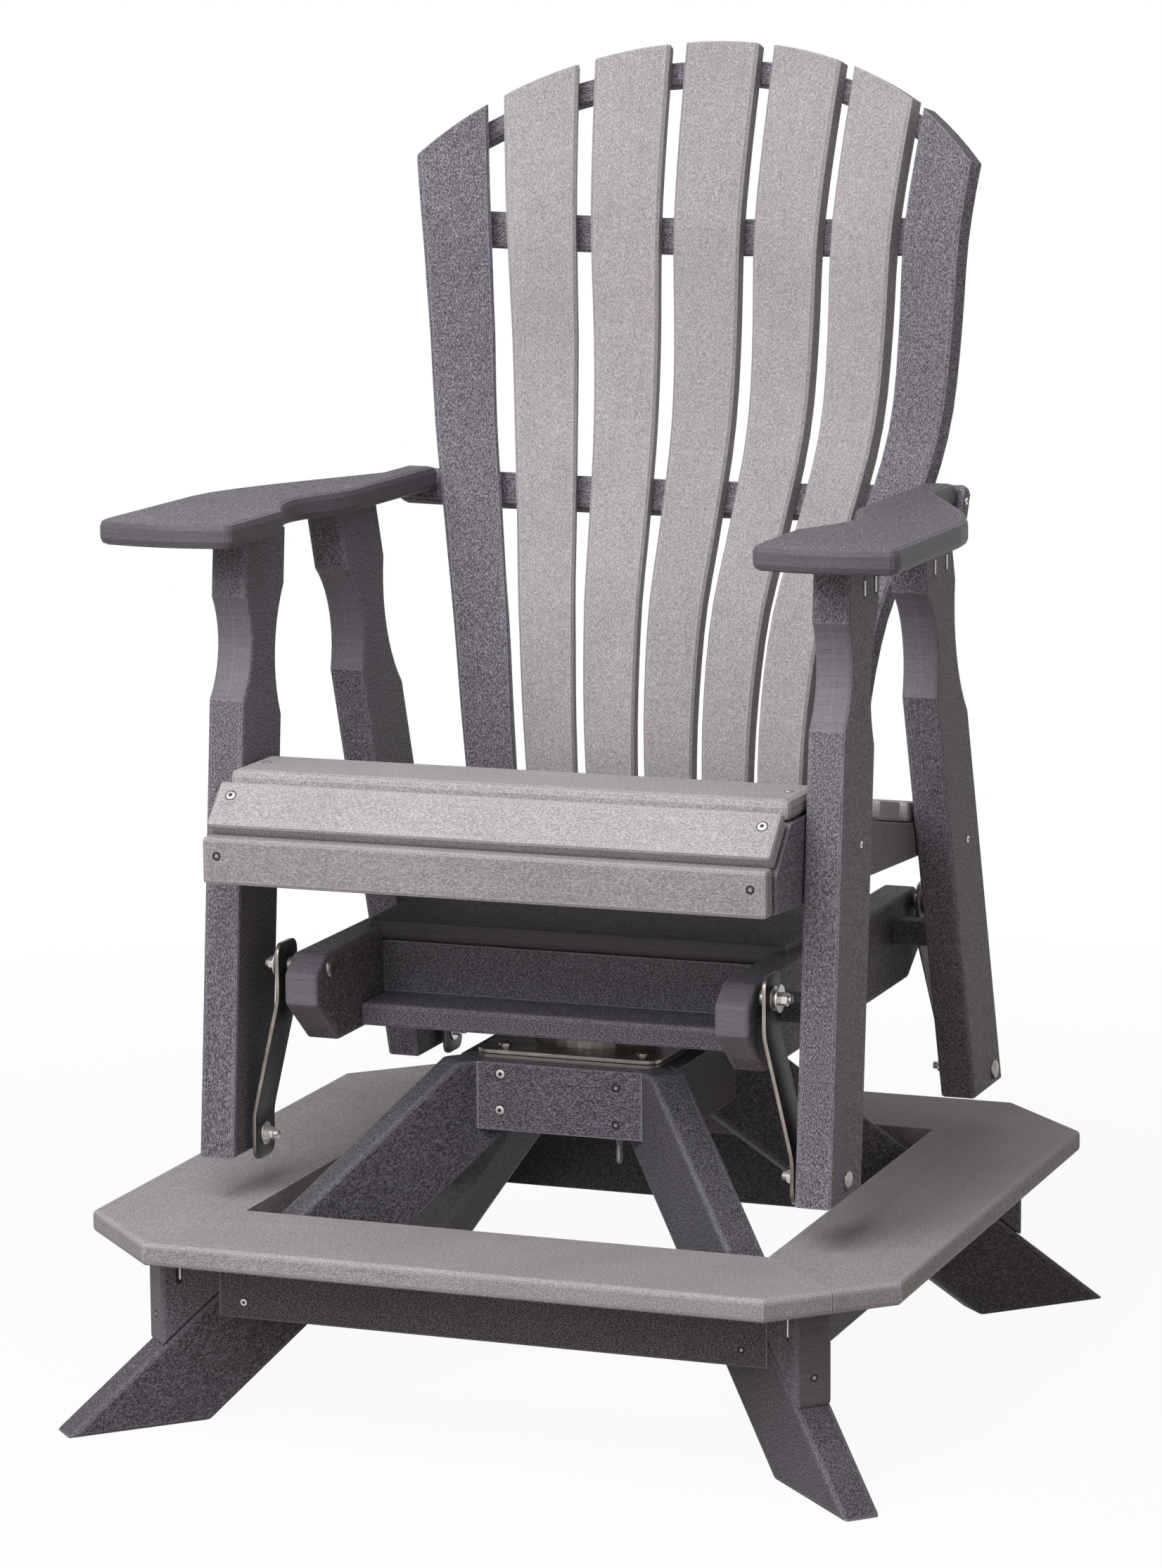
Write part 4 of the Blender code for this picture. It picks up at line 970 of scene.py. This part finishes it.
class Fastener:
    """Screws, screw holes and pockets that sit on the surface they are aimed at."""

    def __init__(self, steel, bright, dull, shade):
        self.steel = steel
        self.bright = bright
        self.dull = dull
        self.shade = shade

    def add(self, name, shape, place, outward, body, slot, materials):
        new_piece(name, turn_to(shape, place, outward), materials, body)

    def screw(self, name, node, body, start, direction, radius):
        place, normal = touch(node, start, direction)
        # A ring of painted shade around the head
        rim = washer(radius * RIM_SHARE, RIM_THICK, radius * MOUTH_SHARE)
        self.add(name + "_rim", rim, place, normal, body, "charcoal_lumber", [self.shade])
        self.add(name, screw_head(radius), place, normal, body, "plated_steel", [self.steel, self.shade])

    def hole(self, name, node, body, start, direction, radius):
        """A sunk screw: a mouth of painted shade with a glint of the head at its bottom."""
        place, normal = touch(node, start, direction)
        mouth = [ring_of(radius, -MOUTH_SINK), ring_of(radius, MOUTH_PROUD)]
        mouth += [ring_of(radius * MOUTH_SHARE, MOUTH_FLAT)]
        self.add(name, skin(mouth), place, normal, body, "charcoal_lumber", [self.shade])
        glint = [ring_of(six_lobes(radius * reach), GLINT_HIGH * height) for reach, height in GLINT_SHARES]
        self.add(name + "_screw", skin(glint), place, normal, body, "plated_steel", [self.dull])

    def pocket(self, name, node, body, start, direction, height):
        """An upright pocket of painted shade with the screw's shank gleaming in it."""
        place, normal = touch(node, start, direction)
        mouth = stadium(POCKET_WIDE, height)
        self.add(name, mouth, place, normal, body, "charcoal_lumber", [self.shade])
        up = Vector((0, 0, 1))
        streak = rod(SHANK_RADIUS, height * SHANK_LONG_SHARE)
        foot = place + up.cross(normal) * SHANK_ASIDE
        foot = foot - up * height * SHANK_LOW_SHARE - normal * SHANK_SINK
        bmesh.ops.translate(streak, verts=streak.verts, vec=foot)
        # The shank takes the pale steel, a painted highlight
        new_piece(name + "_screw", streak, [self.bright], body)


def make_stand_screws(fastener):
    back = (0, 1, 0)
    for index, (x, z) in enumerate(HUB_SCREW_PLACES):
        name = "hub_screw_" + str(index)
        fastener.screw(name, "hub_board_front", "stand", (x, -FAR, z), back, LARGE_SCREW)
    for index, (x, z) in enumerate(HUB_HOLE_PLACES):
        name = "hub_hole_" + str(index)
        fastener.hole(name, "hub_board_front", "stand", (x, -FAR, z), back, DEEP_SCREW)
    start = (-APRON_SCREW_X, -FAR, APRON_SCREW_Z)
    fastener.screw("apron_screw", "apron_front", "stand", start, back, SMALL_SCREW)
    start = (APRON_SCREW_X, -FAR, APRON_SCREW_Z)
    fastener.hole("apron_hole", "apron_front", "stand", start, back, SMALL_SCREW)
    for end, ahead in ENDS.items():
        for word, side in SIDES.items():
            place = end + "_" + word
            node = "riser_" + place
            outward = Vector((side, ahead, 0)).normalized()
            start = outward * FAR
            start.z = RISER_SCREW_Z
            fastener.hole("riser_screw_" + place, node, "stand", start, -outward, MIDDLE_SCREW)
            sideways = Vector((-side, ahead, 0)).normalized()
            start = outward * RISER_POCKET_OUT + sideways * FAR
            start.z = RISER_POCKET_Z
            fastener.pocket("riser_pocket_" + place, node, "stand", start, -sideways, RISER_POCKET_HIGH)


def make_carriage_screws(fastener):
    for word, side in SIDES.items():
        for index, z in enumerate(RAIL_SCREW_HEIGHTS):
            name = "rail_screw_" + word + "_" + str(index)
            start = (side * FAR, RAIL_SCREW_Y, z)
            fastener.screw(name, "glide_rail_" + word, "carriage", start, (-side, 0, 0), MIDDLE_SCREW)


def make_post_screws(fastener, word, side):
    inward = (-side, 0, 0)
    for end, (y, z) in POST_SCREW_PLACES.items():
        name = end + "_" + word
        start = (side * FAR, y, z)
        fastener.screw("post_screw_" + name, "post_" + name, "seat", start, inward, SMALL_SCREW)
    for index, (end, y, z) in enumerate(POST_POCKET_PLACES):
        name = "post_pocket_" + word + "_" + str(index)
        start = (side * FAR, y, z)
        fastener.pocket(name, "post_" + end + "_" + word, "seat", start, inward, POCKET_HIGH)


def make_seat_screws(fastener):
    back = (0, 1, 0)
    for word, side in SIDES.items():
        make_post_screws(fastener, word, side)
        start = (side * DECK_SCREW_X, DECK_SCREW_Y, FAR)
        fastener.screw("seat_screw_top_" + word, "seat_slat_1", "seat", start, (0, 0, -1), MIDDLE_SCREW)
        start = (side * SLAT_SCREW_X, -FAR, SLANT_SCREW_Z)
        fastener.screw("seat_screw_slant_" + word, "seat_slanted_slat", "seat", start, back, LARGE_SCREW)
        start = (side * SLAT_SCREW_X, -FAR, SLAT_HOLE_Z)
        fastener.hole("seat_hole_" + word, "seat_lower_slat", "seat", start, back, DEEP_SCREW)
        low, high = (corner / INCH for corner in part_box("back_arm_rail"))
        start = (side * FAR, low.y + ARM_RAIL_SCREW_IN, (low.z + high.z) / 2 + ARM_RAIL_SCREW_UP)
        fastener.screw("arm_rail_screw_" + word, "back_arm_rail", "seat", start, (-side, 0, 0), MIDDLE_SCREW)


def make_swivel_nuts(steel):
    for index, (x, y) in enumerate(SWIVEL_NUT_PLACES):
        place, normal = touch("swivel_base_plate", (x, y, FAR), (0, 0, -1))
        nut = nut_and_tail(SWIVEL_NUT_ACROSS, SWIVEL_NUT_THICK, SWIVEL_NUT_TAIL, SWIVEL_NUT_SHANK)
        new_piece("swivel_nut_" + str(index), turn_to(nut, place, normal), [steel], "stand")


def make_hub_bolt(steel):
    """The threaded end that hangs below the hub."""
    rings = [ring_of(HUB_BOLT_POINT, 0), ring_of(HUB_BOLT_ROOT, HUB_BOLT_TIP)]
    for turn in range(HUB_BOLT_TURNS):
        root = HUB_BOLT_START + turn * HUB_BOLT_PITCH
        rings += [ring_of(HUB_BOLT_ROOT, root), ring_of(HUB_BOLT_CREST, root + HUB_BOLT_PITCH / 2)]
    rings.append(ring_of(HUB_BOLT_ROOT, HUB_BOLT_LONG))
    bolt = skin(rings)
    bmesh.ops.translate(bolt, verts=bolt.verts, vec=HUB_BOLT_PLACE)
    new_piece("hub_bolt", bolt, [steel], "stand")


# Camera, lights and surroundings


def make_camera():
    azimuth, elevation, roll = (math.radians(angle) for angle in CAMERA_ANGLES)
    ahead = Vector((
        -math.sin(azimuth) * math.cos(elevation),
        math.cos(azimuth) * math.cos(elevation),
        -math.sin(elevation),
    ))
    right = Vector((math.cos(azimuth), math.sin(azimuth), 0))
    up = right.cross(ahead)
    tilted_right = right * math.cos(roll) + up * math.sin(roll)
    tilted_up = up * math.cos(roll) - right * math.sin(roll)
    lens = bpy.data.cameras.new("photo_camera")
    lens.sensor_width = CAMERA_SENSOR
    lens.lens = CAMERA_LENS
    lens.clip_end = CAMERA_REACH
    camera = bpy.data.objects.new("photo_camera", lens)
    axes = Matrix((tilted_right, tilted_up, -ahead)).transposed()
    camera.matrix_world = Matrix.Translation(CAMERA_PLACE) @ axes.to_4x4()
    bpy.context.scene.collection.objects.link(camera)
    bpy.context.scene.camera = camera


def make_light(name, azimuth, elevation, distance, size, power, tint):
    """A square soft box that faces the chair; azimuth 0 is the front and 90 the right."""
    azimuth, elevation = math.radians(azimuth), math.radians(elevation)
    away = Vector((
        math.sin(azimuth) * math.cos(elevation),
        -math.cos(azimuth) * math.cos(elevation),
        math.sin(elevation),
    ))
    lamp = bpy.data.lights.new(name, "AREA")
    lamp.shape = "SQUARE"
    lamp.size = size
    lamp.energy = power
    lamp.color = tint
    light = bpy.data.objects.new(name, lamp)
    light.location = LIGHT_TARGET + away * distance
    light.rotation_mode = "QUATERNION"
    light.rotation_quaternion = away.to_track_quat("Z", "Y")
    bpy.context.scene.collection.objects.link(light)


def rays_that_see_white(tree):
    """1 for the camera's own rays and for glossy and transmitted ones."""
    path = tree.nodes.new("ShaderNodeLightPath")
    seen = path.outputs["Is Camera Ray"]
    for ray in ("Is Glossy Ray", "Is Transmission Ray"):
        either = tree.nodes.new("ShaderNodeMath")
        either.operation = "MAXIMUM"
        tree.links.new(seen, either.inputs[0])
        tree.links.new(path.outputs[ray], either.inputs[1])
        seen = either.outputs[0]
    return seen


def floor_paper():
    """White paper to the camera, fading into the surroundings; a duller, warm floor to the light."""
    finish = Finish("floor_paper")
    place = finish.place()
    seen = rays_that_see_white(finish.tree)
    grain = finish.spread_noise(finish.noise(place, *PAPER_CLOUD), PAPER_DARK, 1.0)
    paper = finish.mix(seen, FLOOR_WARM, FLOOR_PAPER)
    finish.wear(Base_Color=finish.mix(1.0, paper, grain, "MULTIPLY"), Roughness=PAPER_ROUGHNESS)
    glow = finish.node("ShaderNodeEmission", {"Color": WHITE, "Strength": 1.0}).outputs[0]
    glow_share = finish.calculate("MULTIPLY", seen, FLOOR_GLOW_SHARE)
    lit = finish.mix_shaders(glow_share, finish.shader.outputs[0], glow)
    away = finish.node("ShaderNodeVectorMath", {0: place}, operation="LENGTH").outputs["Value"]
    fade = finish.spread(away, FLOOR_FADE_START, FLOOR_FADE_END, 0.0, 1.0)
    clear = finish.node("ShaderNodeBsdfTransparent").outputs[0]
    surface = finish.mix_shaders(fade, lit, clear)
    finish.set(finish.tree.nodes["Material Output"].inputs["Surface"], surface)
    return finish.material


def make_floor():
    mesh = bpy.data.meshes.new("floor")
    corners = [(-FLOOR_HALF, -FLOOR_HALF, 0), (FLOOR_HALF, -FLOOR_HALF, 0)]
    corners += [(FLOOR_HALF, FLOOR_HALF, 0), (-FLOOR_HALF, FLOOR_HALF, 0)]
    mesh.from_pydata(corners, [], [(0, 1, 2, 3)])
    floor = bpy.data.objects.new("floor", mesh)
    floor.location.z = -FLOOR_DROP
    bpy.context.scene.collection.objects.link(floor)
    mesh.materials.append(floor_paper())


def make_surroundings():
    """White to the camera and in reflections, and a dim warm glow to the light."""
    world = bpy.data.worlds.new("studio")
    bpy.context.scene.world = world
    world.use_nodes = True
    tree = world.node_tree
    surround = tree.nodes["Background"]
    surround.inputs["Color"].default_value = SURROUND_TINT
    surround.inputs["Strength"].default_value = SURROUND_GLOW
    white = tree.nodes.new("ShaderNodeBackground")
    white.inputs["Color"].default_value = WHITE
    white.inputs["Strength"].default_value = 1.0
    choose = tree.nodes.new("ShaderNodeMixShader")
    tree.links.new(rays_that_see_white(tree), choose.inputs[0])
    tree.links.new(surround.outputs[0], choose.inputs[1])
    tree.links.new(white.outputs[0], choose.inputs[2])
    tree.links.new(choose.outputs[0], tree.nodes["World Output"].inputs["Surface"])


def make_studio():
    """White surroundings, a pale floor that keeps the shadow, and three soft boxes."""
    make_surroundings()
    make_floor()
    for name, settings in SOFT_BOXES.items():
        make_light(name, *settings)
    bpy.context.scene.view_settings.view_transform = "Standard"


dress_frame()
steels = {name: plated_steel(name, *settings) for name, settings in STEELS.items()}
make_links(strap_steel("mill_scale"), steels)
recess_shade = shade_of("recess_shade", RECESS_SHADE)
fastener = Fastener(steels["zinc"], steels["painted_glint_zinc"], steels["head_zinc"], recess_shade)
make_stand_screws(fastener)
make_carriage_screws(fastener)
make_seat_screws(fastener)
make_swivel_nuts(steels["head_zinc"])
make_hub_bolt(steels["black_bolt"])
make_camera()
make_studio()
